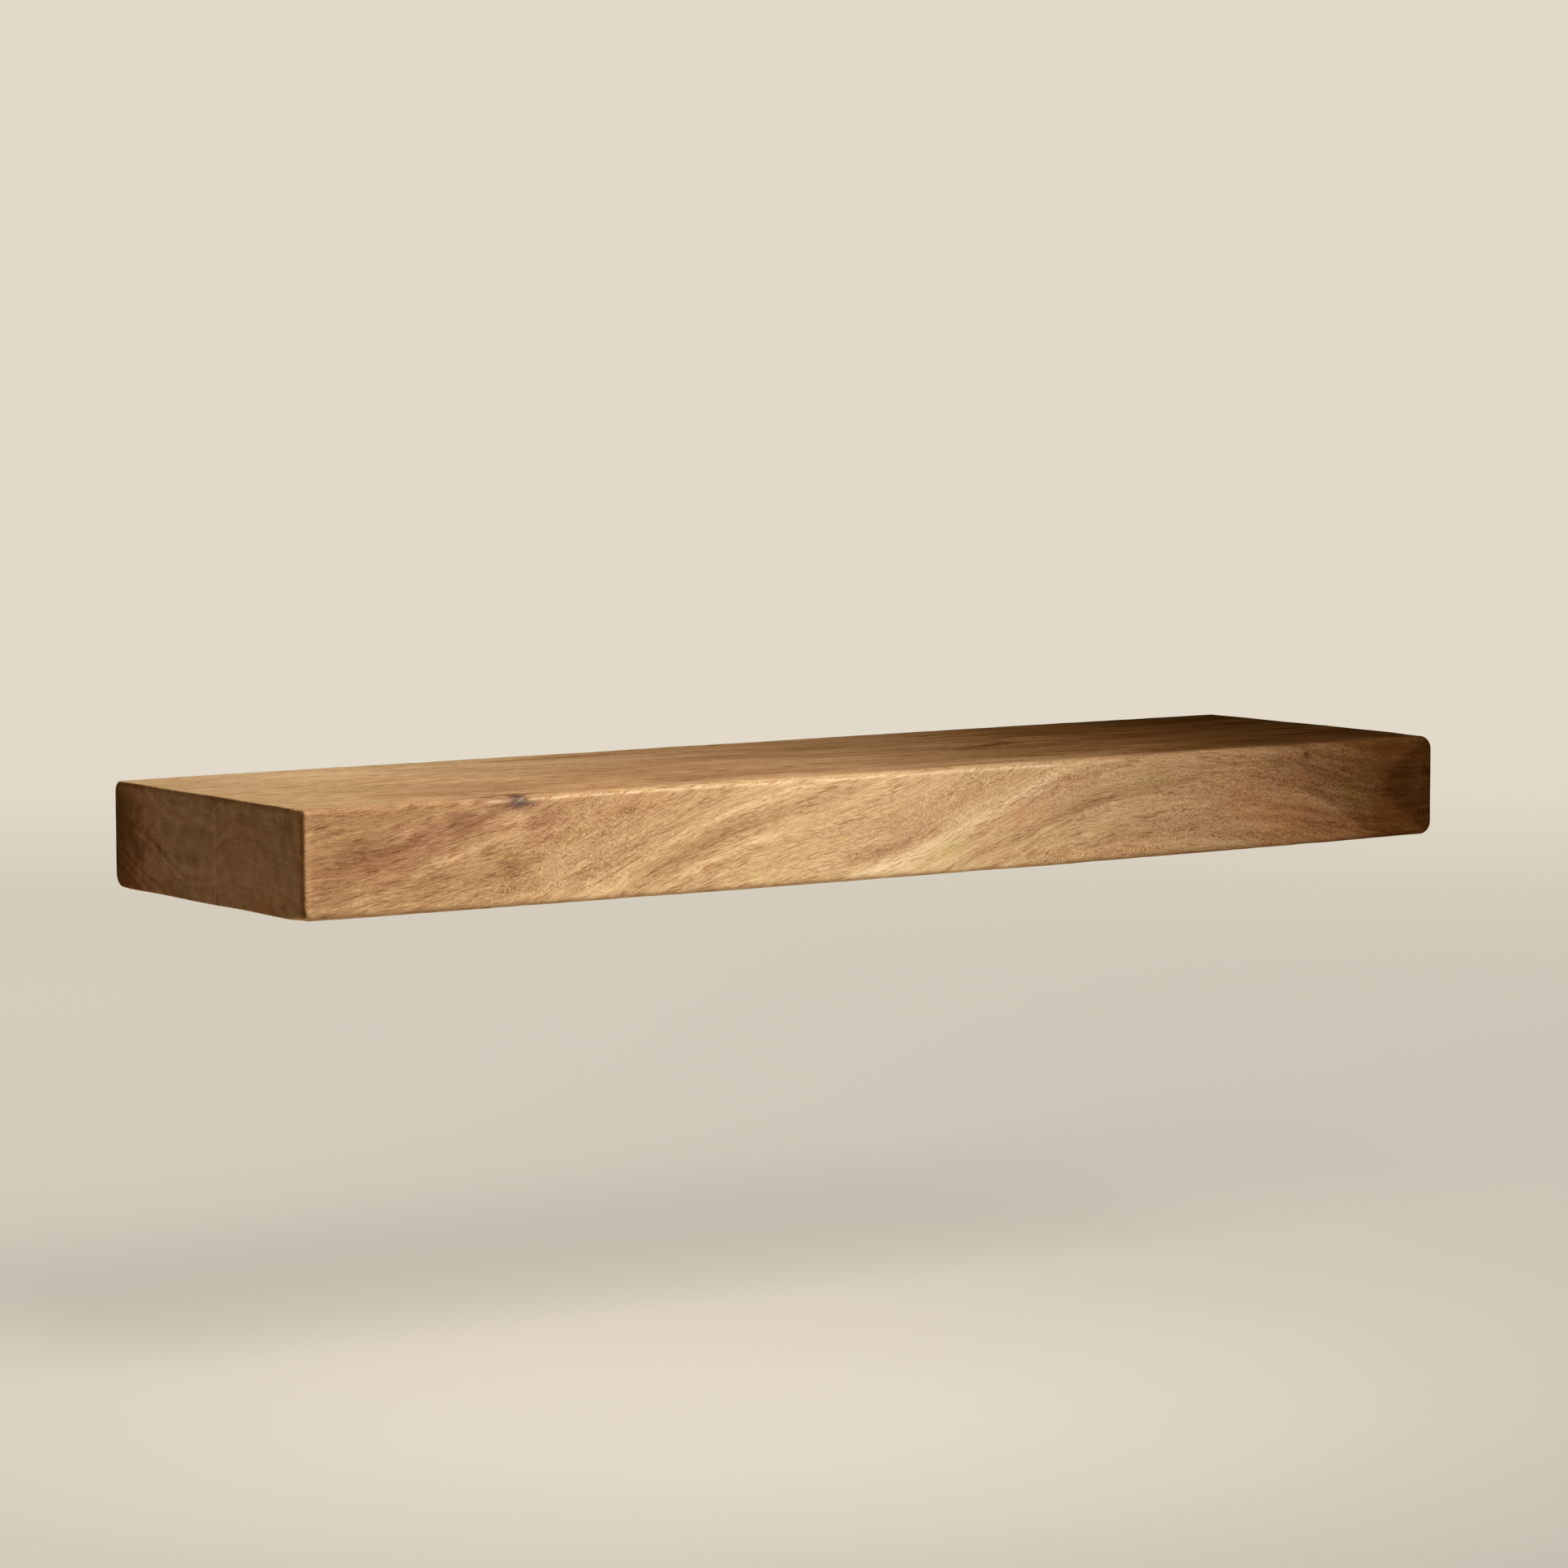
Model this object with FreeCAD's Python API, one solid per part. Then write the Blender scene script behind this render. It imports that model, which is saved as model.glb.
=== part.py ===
import FreeCAD, Part
import math
import os

# Floating wall shelf: a solid mango-wood board, edge-glued from two staves, pushed onto three steel
# rods that stand out from a steel plate. The plate is screwed to six plugs in the wall and sits in a
# routed recess in the board's back, so nothing of the fixing shows.
#
# Frame, in millimetres: the origin is the centre of the board's back face, on the wall's surface.
# +X runs along the shelf to the right as seen from the front, +Y goes into the wall, +Z is up.

Vector = FreeCAD.Vector
ALONG_Y = Vector(0, 1, 0)
MARGIN = 1.0  # how far a cutting tool runs past the surface that it opens

# ---- driving dimensions ------------------------------------------------------------------------
# board
board_length = 600.0
board_depth = 165.0
board_thickness = 46.0  # at both ends
board_belly = 1.0  # how much lower the hand-planed underside is at mid-length
rear_stave_depth = 90.0
arris_radius = 3.0  # round the front and the back face, by hand
end_edge_radius = 1.0  # along the depth at either end, only just eased

# bracket plate, its recess in the board and the wall fixings
plate_length = 510.0
plate_height = 30.0
plate_thickness = 6.0
plate_corner_radius = 4.0
plate_edge_chamfer = 0.6
recess_side_gap = 2.0
recess_floor_gap = 1.5
router_radius = 6.0
wall_screw_places = (-240.0, -145.0, -50.0, 50.0, 145.0, 240.0)

# rods
rod_places = {"left": -190.0, "middle": 0.0, "right": 190.0}
rod_radius = 6.0
rod_reach = 120.0  # in front of the plate
rod_seat_depth = 2.0  # counterbore in the plate that takes the rod's end
rod_tip_chamfer = 1.5
rod_bore_gap = 0.25  # radial, in the wood
rod_bore_spare = 5.0  # bore depth past the rod's tip
drill_point_angle = 118.0

# M6 x 20 countersunk socket screws that hold the rods to the plate from behind
rod_screw_radius = 3.0
rod_screw_length = 20.0
rod_screw_head_radius = 6.0
rod_screw_tip_chamfer = 0.6
rod_screw_hole_radius = 3.3
rod_screw_sink_radius = 6.1
tapped_radius = 3.05
tapped_depth = 20.0
hex_key_size = 4.0
hex_key_depth = 2.2

# 5 x 50 countersunk wood screws and the 8 x 40 nylon plugs that they expand
wall_screw_radius = 2.5
wall_screw_core_radius = 1.7
wall_screw_length = 50.0
wall_screw_head_radius = 5.0
wall_screw_head_rim = 0.4
wall_screw_hole_radius = 2.75
wall_screw_sink_radius = 5.1
wall_screw_pitch = 2.6
wall_screw_neck = 5.0  # plain length under the head
wall_screw_point = 6.0
cross_reach = 2.4
cross_width = 1.1
cross_depth = 2.6
plug_radius = 4.0
plug_length = 40.0  # in the wall
plug_rim_radius = 5.0
plug_rim_thickness = 0.8  # the rim stays proud of the wall, and the plate rests on it
plug_neck = 9.0
plug_tooth_pitch = 3.5
plug_tooth_depth = 0.45
plug_tip_taper = 3.0
plug_tip_radius = 3.0
plug_bore_radius = 2.55
plug_slit_width = 1.2

# ---- worked out from them ----------------------------------------------------------------------
plate_back_y = -plug_rim_thickness
plate_front_y = plate_back_y - plate_thickness
recess_length = plate_length + 2 * recess_side_gap
recess_height = plate_height + 2 * recess_side_gap
recess_depth = recess_floor_gap - plate_front_y
rod_seat_y = plate_front_y + rod_seat_depth
rod_tip_y = plate_front_y - rod_reach
wall_sink_y = plate_front_y + wall_screw_head_rim
rod_bore_radius = rod_radius + rod_bore_gap
rod_bore_end_y = rod_tip_y - rod_bore_spare


# ---- helpers -----------------------------------------------------------------------------------
def centred_box(width, y_from, y_to, height, x=0.0):
    """A box centred on x and on z = 0, between two places along Y."""
    corner = Vector(x - width / 2, y_from, -height / 2)
    return Part.makeBox(width, y_to - y_from, height, corner)


def turned(outline, x):
    """A solid turned about the line along Y at this x, from (y, radius) points."""
    points = [Vector(radius, y, 0) for y, radius in outline]
    face = Part.Face(Part.makePolygon(points + [points[0]]))
    solid = face.revolve(Vector(0, 0, 0), ALONG_Y, 360)
    solid.translate(Vector(x, 0, 0))
    return solid


def round_bar(radius, y_from, y_to, x):
    """A plain cylinder along Y."""
    return Part.makeCylinder(radius, y_to - y_from, Vector(x, y_from, 0), ALONG_Y)


def edges_along_y(shape):
    """The straight edges of a shape that run along Y."""
    return [edge for edge in shape.Edges if span_of(edge).cross(ALONG_Y).Length < 1e-6]


def span_of(edge):
    """The line from an edge's first end to its last."""
    ends = edge.Vertexes
    return ends[-1].Point - ends[0].Point


# ---- the wooden board --------------------------------------------------------------------------
def underside_z(x):
    """The height of the underside, which bellies down towards mid-length."""
    return -board_thickness / 2 - board_belly * (1 - (2 * x / board_length) ** 2)


def side_profile():
    """A slab with a flat top and the bellied underside, long and deep enough to cut the board from."""
    half = board_length / 2 + MARGIN
    end_z = underside_z(half)
    top_z = board_thickness / 2
    outer = [(half, end_z), (half, top_z), (-half, top_z), (-half, end_z)]
    corners = [Vector(x, MARGIN, z) for x, z in outer]
    underside = Part.Arc(corners[-1], Vector(0, MARGIN, underside_z(0)), corners[0])
    outline = Part.Wire([underside.toShape()] + Part.makePolygon(corners).Edges)
    return Part.Face(outline).extrude(Vector(0, -board_depth - 2 * MARGIN, 0))


def board_blank():
    """The whole board before the staves are told apart, with every edge eased.

    The short edges come first. They make the outlines of the front and back faces smooth, so that the
    larger radius then runs all the way round both faces.
    """
    block = centred_box(board_length, -board_depth, 0, 2 * board_thickness)
    blank = block.common(side_profile())
    blank = blank.makeFillet(end_edge_radius, edges_along_y(blank))
    long_edges = [edge for edge in blank.Edges if edge.BoundBox.XLength > board_length / 2]
    return blank.makeFillet(arris_radius, long_edges)


def plate_recess():
    """The routed pocket in the back that takes the bracket plate."""
    pocket = centred_box(recess_length, -recess_depth, MARGIN, recess_height)
    return pocket.makeFillet(router_radius, edges_along_y(pocket))


def rod_bore(x):
    """A drilled blind hole for one rod, with the drill's point at its end."""
    point_length = rod_bore_radius / math.tan(math.radians(drill_point_angle / 2))
    outline = [
        (0, 0),
        (0, rod_bore_radius),
        (rod_bore_end_y, rod_bore_radius),
        (rod_bore_end_y - point_length, 0),
    ]
    return turned(outline, x)


def staves():
    """The rear and the front stave, which meet face to face at the glue line."""
    board = board_blank().cut(plate_recess())
    for x in rod_places.values():
        board = board.cut(rod_bore(x))
    rear_half = centred_box(2 * board_length, -rear_stave_depth, MARGIN, 2 * board_thickness)
    return board.common(rear_half), board.cut(rear_half)


# ---- the steel bracket -------------------------------------------------------------------------
def countersink(x, head_radius, hole_radius, y_face, into):
    """A 90 degree countersink in a face at y_face. It deepens along Y, with into +1 or -1."""
    outline = [
        (y_face - into * MARGIN, 0),
        (y_face - into * MARGIN, head_radius),
        (y_face, head_radius),
        (y_face + into * (head_radius - hole_radius), hole_radius),
        (y_face + into * (head_radius - hole_radius), 0),
    ]
    return turned(outline, x)


def bracket_plate():
    """The flat bar with rod seats in front, and holes for the rod screws and the wall screws."""
    plate = centred_box(plate_length, plate_front_y, plate_back_y, plate_height)
    plate = plate.makeFillet(plate_corner_radius, edges_along_y(plate))
    front_rim = [edge for edge in plate.Edges if abs(edge.CenterOfMass.y - plate_front_y) < 1e-6]
    plate = plate.makeChamfer(plate_edge_chamfer, front_rim)
    past_front = plate_front_y - MARGIN
    past_back = plate_back_y + MARGIN
    for x in rod_places.values():
        plate = plate.cut(round_bar(rod_screw_hole_radius, past_front, past_back, x))
        plate = plate.cut(round_bar(rod_radius, past_front, rod_seat_y, x))
        plate = plate.cut(countersink(x, rod_screw_sink_radius, rod_screw_hole_radius, plate_back_y, -1))
    for x in wall_screw_places:
        plate = plate.cut(round_bar(wall_screw_hole_radius, past_front, past_back, x))
        plate = plate.cut(round_bar(wall_screw_sink_radius, past_front, wall_sink_y, x))
        plate = plate.cut(countersink(x, wall_screw_sink_radius, wall_screw_hole_radius, wall_sink_y, 1))
    return plate


def support_rod(x):
    """One rod: seated in the plate, tapped behind for its screw, chamfered at the tip."""
    outline = [
        (rod_seat_y, 0),
        (rod_seat_y, rod_radius),
        (rod_tip_y + rod_tip_chamfer, rod_radius),
        (rod_tip_y, rod_radius - rod_tip_chamfer),
        (rod_tip_y, 0),
    ]
    return turned(outline, x).cut(round_bar(tapped_radius, rod_seat_y - tapped_depth, rod_seat_y, x))


def rod_screw(x):
    """The countersunk screw that pulls one rod into its seat, flush with the plate's back."""
    head_height = rod_screw_head_radius - rod_screw_radius
    tip_y = plate_back_y - rod_screw_length
    outline = [
        (plate_back_y, 0),
        (plate_back_y, rod_screw_head_radius),
        (plate_back_y - head_height, rod_screw_radius),
        (tip_y + rod_screw_tip_chamfer, rod_screw_radius),
        (tip_y, rod_screw_radius - rod_screw_tip_chamfer),
        (tip_y, 0),
    ]
    across_corners = hex_key_size / math.cos(math.radians(30))
    corners = []
    for side in range(7):
        angle = math.radians(60 * side)
        reach = across_corners / 2
        corners.append(Vector(x + reach * math.cos(angle), plate_back_y + MARGIN, reach * math.sin(angle)))
    hexagon = Part.Face(Part.makePolygon(corners))
    return turned(outline, x).cut(hexagon.extrude(Vector(0, -MARGIN - hex_key_depth, 0)))


# ---- the wall fixings --------------------------------------------------------------------------
def wall_screw(x):
    """A wood screw, flush with the plate's front. Rings at the thread's pitch stand for its thread."""
    neck_y = wall_sink_y + wall_screw_head_radius - wall_screw_core_radius
    tip_y = plate_front_y + wall_screw_length
    outline = [
        (plate_front_y, 0),
        (plate_front_y, wall_screw_head_radius),
        (wall_sink_y, wall_screw_head_radius),
        (neck_y, wall_screw_core_radius),
    ]
    ring_y = neck_y + wall_screw_neck
    while ring_y + wall_screw_pitch < tip_y - wall_screw_point:
        outline += [
            (ring_y, wall_screw_core_radius),
            (ring_y + 0.4 * wall_screw_pitch, wall_screw_radius),
            (ring_y + 0.5 * wall_screw_pitch, wall_screw_radius),
            (ring_y + 0.9 * wall_screw_pitch, wall_screw_core_radius),
        ]
        ring_y += wall_screw_pitch
    outline += [(tip_y - wall_screw_point, wall_screw_core_radius), (tip_y, 0)]
    screw = turned(outline, x)
    for wide, high in ((2 * cross_reach, cross_width), (cross_width, 2 * cross_reach)):
        screw = screw.cut(centred_box(wide, plate_front_y - MARGIN, plate_front_y + cross_depth, high, x))
    return screw


def wall_plug(x):
    """A nylon plug in the wall: rim, plain neck, and toothed legs split in four up to the tip."""
    outline = [
        (plate_back_y, plug_bore_radius),
        (plate_back_y, plug_rim_radius),
        (0, plug_rim_radius),
        (0, plug_radius),
        (plug_neck, plug_radius),
    ]
    tooth_y = plug_neck
    while tooth_y + plug_tooth_pitch <= plug_length - plug_tip_taper:
        outline += [
            (tooth_y, plug_radius - plug_tooth_depth),
            (tooth_y + 0.5 * plug_tooth_pitch, plug_radius),
            (tooth_y + plug_tooth_pitch, plug_radius),
        ]
        tooth_y += plug_tooth_pitch
    outline += [(plug_length, plug_tip_radius), (plug_length, plug_bore_radius)]
    plug = turned(outline, x)
    past_tip = plug_length + MARGIN
    for wide, high in ((3 * plug_radius, plug_slit_width), (plug_slit_width, 3 * plug_radius)):
        plug = plug.cut(centred_box(wide, plug_neck + MARGIN, past_tip, high, x))
    return plug


# ---- every piece under its own name ------------------------------------------------------------
def all_parts():
    """Each piece's name and solid."""
    rear, front = staves()
    parts = {"rear_stave": rear, "front_stave": front, "bracket_plate": bracket_plate()}
    for side, x in rod_places.items():
        parts["support_rod_" + side] = support_rod(x)
        parts["rod_screw_" + side] = rod_screw(x)
    for number, x in enumerate(wall_screw_places, start=1):
        parts[f"wall_screw_{number}"] = wall_screw(x)
        parts[f"wall_plug_{number}"] = wall_plug(x)
    return parts


def main():
    """Writes one STEP file per piece and prints each piece's size and volume."""
    os.makedirs("parts", exist_ok=True)
    for name, shape in all_parts().items():
        shape.exportStep(os.path.join("parts", name + ".step"))
        box = shape.BoundBox
        print(
            f"{name}: {len(shape.Solids)} solid, valid {shape.isValid()}, "
            f"{box.XLength:.1f} x {box.YLength:.1f} x {box.ZLength:.1f} mm, {shape.Volume / 1000:.2f} cm3"
        )


main()
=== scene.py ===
# %% [markdown]
# # A floating wall shelf in solid mango wood
#
# The shelf is one thick board, glued up from two staves, that slides onto three steel rods. The rods
# stand out from a plate that is screwed to the wall and hidden in the board's back. This lesson dresses
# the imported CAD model: the steel, screws and plugs keep their CAD shape and get finishes, while the two
# staves are modelled again, because hand-planed wood is never as crisp as its drawing.
#
# The first cell loads the CAD model as a fixed frame. Blender works in metres here.

import math

import bpy
import numpy as np
from mathutils import Matrix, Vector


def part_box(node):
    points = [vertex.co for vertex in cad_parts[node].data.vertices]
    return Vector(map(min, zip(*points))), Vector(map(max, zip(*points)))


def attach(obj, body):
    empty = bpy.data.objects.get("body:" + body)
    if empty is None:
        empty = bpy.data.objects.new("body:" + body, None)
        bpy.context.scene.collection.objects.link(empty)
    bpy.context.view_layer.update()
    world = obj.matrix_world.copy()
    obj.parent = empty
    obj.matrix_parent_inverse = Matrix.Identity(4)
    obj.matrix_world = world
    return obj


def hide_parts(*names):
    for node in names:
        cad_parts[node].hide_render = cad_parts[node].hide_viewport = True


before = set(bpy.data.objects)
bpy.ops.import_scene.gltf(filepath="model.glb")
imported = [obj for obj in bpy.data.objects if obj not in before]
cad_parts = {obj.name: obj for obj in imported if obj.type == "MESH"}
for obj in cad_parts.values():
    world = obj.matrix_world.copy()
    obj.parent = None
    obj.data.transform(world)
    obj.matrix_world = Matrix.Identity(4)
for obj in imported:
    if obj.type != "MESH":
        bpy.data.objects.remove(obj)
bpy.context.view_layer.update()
MM = 0.001

# %% [markdown]
# ## Camera
#
# A camera is a place, a direction and a lens. The direction is built from a yaw, a pitch and a small
# roll. From those come three axes at right angles, and a matrix with the axes as its columns turns the
# camera. Euler angles would do the same, but the axes show plainly what each angle does.

# %% Camera
camera_place = (-1.3744, -2.0859, 0.2348)
camera_yaw = math.radians(34.283)
camera_pitch = math.radians(5.266)
camera_roll = math.radians(-0.216)
lens_mm = 125.27


def camera_axes(yaw, pitch, roll):
    """Right, up and forward: yaw turns from +Y to +X, pitch looks down, roll turns about forward."""
    forward = np.array([math.sin(yaw) * math.cos(pitch), math.cos(yaw) * math.cos(pitch), -math.sin(pitch)])
    level = np.array([math.cos(yaw), -math.sin(yaw), 0.0])
    upright = np.cross(level, forward)
    right = math.cos(roll) * level + math.sin(roll) * upright
    up = math.cos(roll) * upright - math.sin(roll) * level
    return right, up, forward


def add_camera():
    """A full-frame camera at the place and along the axes given above."""
    data = bpy.data.cameras.new("camera")
    data.lens = lens_mm
    data.sensor_width = 36.0
    data.clip_start = 0.05
    camera = bpy.data.objects.new("camera", data)
    bpy.context.scene.collection.objects.link(camera)
    right, up, forward = camera_axes(camera_yaw, camera_pitch, camera_roll)
    turn = Matrix(np.column_stack([right, up, -forward]).tolist()).to_4x4()
    camera.matrix_world = Matrix.Translation(camera_place) @ turn
    bpy.context.scene.camera = camera


add_camera()
print("camera at", camera_place, "with a", lens_mm, "mm lens")

# %% [markdown]
# ## Nodes by name
#
# Every finish below is a small network of shader nodes. It could be wired by hand in the editor. Here one
# helper adds a node, sets its options and fills or links its inputs, so that each material reads as a
# list of steps. Colours are written as they look on a screen and turned into linear light.

# %% Node helper
def add_node(tree, kind, inputs=None, **options):
    """Adds a shader node. inputs maps a socket's name or number to a value or to another socket."""
    node = tree.nodes.new(kind)
    for name, value in options.items():
        setattr(node, name, value)
    for key, value in (inputs or {}).items():
        if isinstance(value, bpy.types.NodeSocket):
            tree.links.new(value, node.inputs[key])
        else:
            node.inputs[key].default_value = value
    return node


def calculate(tree, operation, *values):
    """A Math node: the operation on one, two or three values or sockets."""
    return add_node(tree, "ShaderNodeMath", dict(enumerate(values)), operation=operation).outputs[0]


def stretch(tree, vector, factors):
    """The vector times a factor on each axis, which squeezes or draws out a pattern."""
    return add_node(tree, "ShaderNodeVectorMath", {0: vector, 1: factors}, operation="MULTIPLY").outputs[0]


def noise(tree, vector, detail=2.0, roughness=0.5, distortion=0.0):
    """Noise of scale 1 on a vector that is already stretched: about 0.5 on average."""
    inputs = {"Vector": vector, "Scale": 1.0, "Detail": detail}
    inputs |= {"Roughness": roughness, "Distortion": distortion}
    return add_node(tree, "ShaderNodeTexNoise", inputs)


def fade(tree, value, low, high, to_low=0.0, to_high=1.0):
    """A smooth step from to_low, where value is low, to to_high, where value is high."""
    inputs = {"Value": value, "From Min": low, "From Max": high, "To Min": to_low, "To Max": to_high}
    return add_node(tree, "ShaderNodeMapRange", inputs, interpolation_type="SMOOTHSTEP").outputs[0]


print("helpers for nodes: add_node, calculate, stretch, noise, fade")

# %% Colours and materials
def blend_colour(tree, kind, amount, first, second):
    """A Mix node on two colours: kind is MIX, MULTIPLY and so on."""
    node = add_node(tree, "ShaderNodeMix", data_type="RGBA", blend_type=kind)
    for socket, value in ((node.inputs[0], amount), (node.inputs[6], first), (node.inputs[7], second)):
        if isinstance(value, bpy.types.NodeSocket):
            tree.links.new(value, socket)
        else:
            socket.default_value = value
    return node.outputs[2]


def linear(red, green, blue):
    """An 8-bit screen colour as the linear colour that a shader needs."""
    screen = np.array([red, green, blue]) / 255
    value = np.where(screen <= 0.04045, screen / 12.92, ((screen + 0.055) / 1.055) ** 2.4)
    return (*map(float, value), 1.0)


def new_material(name):
    """An empty material with a Principled shader wired to its output."""
    material = bpy.data.materials.new(name)
    material.use_nodes = True
    tree = material.node_tree
    tree.nodes.clear()
    shader = add_node(tree, "ShaderNodeBsdfPrincipled")
    add_node(tree, "ShaderNodeOutputMaterial", {"Surface": shader.outputs[0]})
    return material, tree, shader


print("a screen value of 128 is", round(linear(128, 128, 128)[0], 3), "in linear light")

# %% [markdown]
# ## Floor
#
# The shelf hangs above a pale floor that catches its shadow. A plain square would show its edges, so the
# floor is a disc that fades out to the backdrop's colour, and no horizon shows. From below it is
# see-through, which keeps the underside in view. Half of what is seen of it is the backdrop's even colour,
# so that the lamps don't stain it.

# %% Floor
floor_z = -0.23
floor_radius = 3.2
floor_corners = 96
fading_from = 0.2 * floor_radius
fading_to = 0.9 * floor_radius
even_share = 0.5
backdrop_colour = linear(226, 217, 201)
floor_colour = linear(238, 230, 216)


def seen_rays(tree):
    """1 for rays from the camera or off a shiny surface, 0 for those that carry light to a matt one."""
    rays = add_node(tree, "ShaderNodeLightPath")
    return calculate(tree, "MAXIMUM", rays.outputs["Is Camera Ray"], rays.outputs["Is Glossy Ray"])


def floor_material():
    """Matt paint near the shelf, see-through towards the rim and from below. Where the camera or a shiny
    piece sees it, a share of it is the backdrop's even colour."""
    material, tree, shader = new_material("pale_floor")
    place = add_node(tree, "ShaderNodeTexCoord").outputs["Object"]
    distance = add_node(tree, "ShaderNodeVectorMath", {0: place}, operation="LENGTH").outputs["Value"]
    fading = fade(tree, distance, fading_from, fading_to)
    below = add_node(tree, "ShaderNodeNewGeometry").outputs["Backfacing"]
    hidden = calculate(tree, "MAXIMUM", fading, below)
    shader.inputs["Base Color"].default_value = floor_colour
    shader.inputs["Roughness"].default_value = 0.9
    shader.inputs["Specular IOR Level"].default_value = 0.0
    even = add_node(tree, "ShaderNodeEmission", {"Color": backdrop_colour, "Strength": 1.0})
    share = calculate(tree, "MULTIPLY", seen_rays(tree), even_share)
    painted = add_node(tree, "ShaderNodeMixShader", {0: share, 1: shader.outputs[0], 2: even.outputs[0]})
    clear = add_node(tree, "ShaderNodeBsdfTransparent")
    mixed = add_node(tree, "ShaderNodeMixShader", {0: hidden, 1: painted.outputs[0], 2: clear.outputs[0]})
    output = next(node for node in tree.nodes if node.type == "OUTPUT_MATERIAL")
    tree.links.new(mixed.outputs[0], output.inputs["Surface"])
    return material


def add_floor():
    """A flat disc: a rim of points on a circle and one in the middle."""
    turns = np.linspace(0, 2 * np.pi, floor_corners, endpoint=False)
    heights = np.full(floor_corners, floor_z)
    rim = np.stack([floor_radius * np.cos(turns), floor_radius * np.sin(turns), heights], -1)
    points = np.vstack([rim, [[0, 0, floor_z]]])
    faces = [(i, (i + 1) % floor_corners, floor_corners) for i in range(floor_corners)]
    mesh = bpy.data.meshes.new("floor")
    mesh.from_pydata(points.tolist(), [], faces)
    floor = bpy.data.objects.new("floor", mesh)
    bpy.context.scene.collection.objects.link(floor)
    mesh.materials.append(floor_material())


add_floor()
print("floor", floor_radius, "m in radius, at z =", floor_z, "m")

# %% [markdown]
# ## Sky and lamps
#
# An even sky lights every side a little, and the camera sees the backdrop's colour in its place. A wide
# soft sun lights the shelf from the front and above. A small square lamp near the left half lights it
# more than the right, as a window would, and a weak lamp at the back keeps the wall side readable.

# %% Sky
sky_strength = 0.32
warm_white = (1.0, 0.985, 0.96)


def add_sky():
    """An even sky for light, and the backdrop's colour where the camera or a shiny piece sees it."""
    world = bpy.data.worlds.new("studio")
    bpy.context.scene.world = world
    world.use_nodes = True
    tree = world.node_tree
    tree.nodes.clear()
    sky = add_node(tree, "ShaderNodeBackground", {"Color": (*warm_white, 1.0), "Strength": sky_strength})
    seen = add_node(tree, "ShaderNodeBackground", {"Color": backdrop_colour, "Strength": 1.0})
    shown = seen_rays(tree)
    mixed = add_node(tree, "ShaderNodeMixShader", {0: shown, 1: sky.outputs[0], 2: seen.outputs[0]})
    add_node(tree, "ShaderNodeOutputWorld", {"Surface": mixed.outputs[0]})


add_sky()
print("sky of strength", sky_strength)

# %% Lamps
def aim(place, target):
    """The matrix of a lamp at a place whose beam, its -Z axis, points at the target."""
    beam = np.subtract(target, place)
    beam = beam / np.linalg.norm(beam)
    side = np.cross(beam, (0.0, 0.0, 1.0))
    side = side / np.linalg.norm(side)
    turn = Matrix(np.column_stack([side, np.cross(side, beam), -beam]).tolist()).to_4x4()
    return Matrix.Translation(place) @ turn


def add_lamp(name, kind, place, target, strength, colour, **options):
    """A lamp of Blender's kind, aimed at the target. A sun's strength is in W/m2, a lamp's in watts."""
    data = bpy.data.lights.new(name, kind)
    data.energy = strength
    data.color = colour
    for option, value in options.items():
        setattr(data, option, value)
    lamp = bpy.data.objects.new(name, data)
    lamp.matrix_world = aim(place, target)
    bpy.context.scene.collection.objects.link(lamp)


shelf_middle = (0.0, 0.0, 0.0)
add_lamp("sun", "SUN", (0.1, -1.0, 1.2), shelf_middle, 0.35, warm_white, angle=math.radians(30))
add_lamp(
    "window", "AREA", (-0.22, -0.60, 0.42), (-0.13, -0.10, 0.0), 1.4, (1.0, 0.98, 0.95),
    shape="RECTANGLE", size=0.34, size_y=0.34, spread=math.radians(100),
)
add_lamp(
    "back", "AREA", (0.2, 1.3, 0.7), shelf_middle, 3.0, (0.98, 0.99, 1.0),
    shape="RECTANGLE", size=0.9, size_y=0.6,
)
print("lamps:", ", ".join(light.name for light in bpy.data.lights))

# %% [markdown]
# ## The staves' surface
#
# On the real board the long edges were eased by hand and the underside was planed with a slight belly.
# The upright edges of the ends are only just broken, and the corners are worn: the two at the front right
# the most, and the lower one at the back left. A bevel modifier would give one even radius, so the
# surface is computed instead: a closed loop round the stave's section, carried along X. Near each end the
# loop pulls in along a quarter circle, which rounds the end's edges, and then it closes over the end
# grain.

# %% Sizes of the board
front_low, front_high = (np.array(corner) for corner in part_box("front_stave"))
rear_low, rear_high = (np.array(corner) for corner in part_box("rear_stave"))
half_length = float(front_high[0])
top_z = float(front_high[2])
front_y = float(front_low[1])
glue_y = float(rear_low[1])
back_y = float(rear_high[1])
belly = 1.0 * MM            # how much lower the underside is at mid-length
end_bottom_z = float(rear_low[2]) + belly
arris = 3.0 * MM            # the long edges
end_edge = 1.0 * MM         # the level edges of the ends
upright_edges = {"front": (2.4, 1.0), "back": (1.6, 1.0)}      # mm: at the left end and at the right
corner_radii = {            # mm: the long edge at the left end and at the right, then the end's edge there
    ("front", "low"): (3.6, 3.2, 4.0, 4.4),
    ("front", "high"): (3.2, 3.0, 2.2, 4.6),
    ("back", "low"): (5.0, 3.5, 2.0, 1.5),
    ("back", "high"): (4.2, 3.5, 1.5, 1.5),
}
long_wear_reach = 20 * MM   # how far from the end a long edge starts to change to its worn radius
end_wear_reach = {"left": 14 * MM, "right": 30 * MM}    # the same for an end's edge, from the long edge
edge_seeds = {("front", "low"): 100, ("front", "high"): 110, ("back", "low"): 200, ("back", "high"): 210}
print("board", 2 * half_length, "x", back_y - front_y, "x", top_z - end_bottom_z, "m, glued at y =", glue_y)

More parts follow.
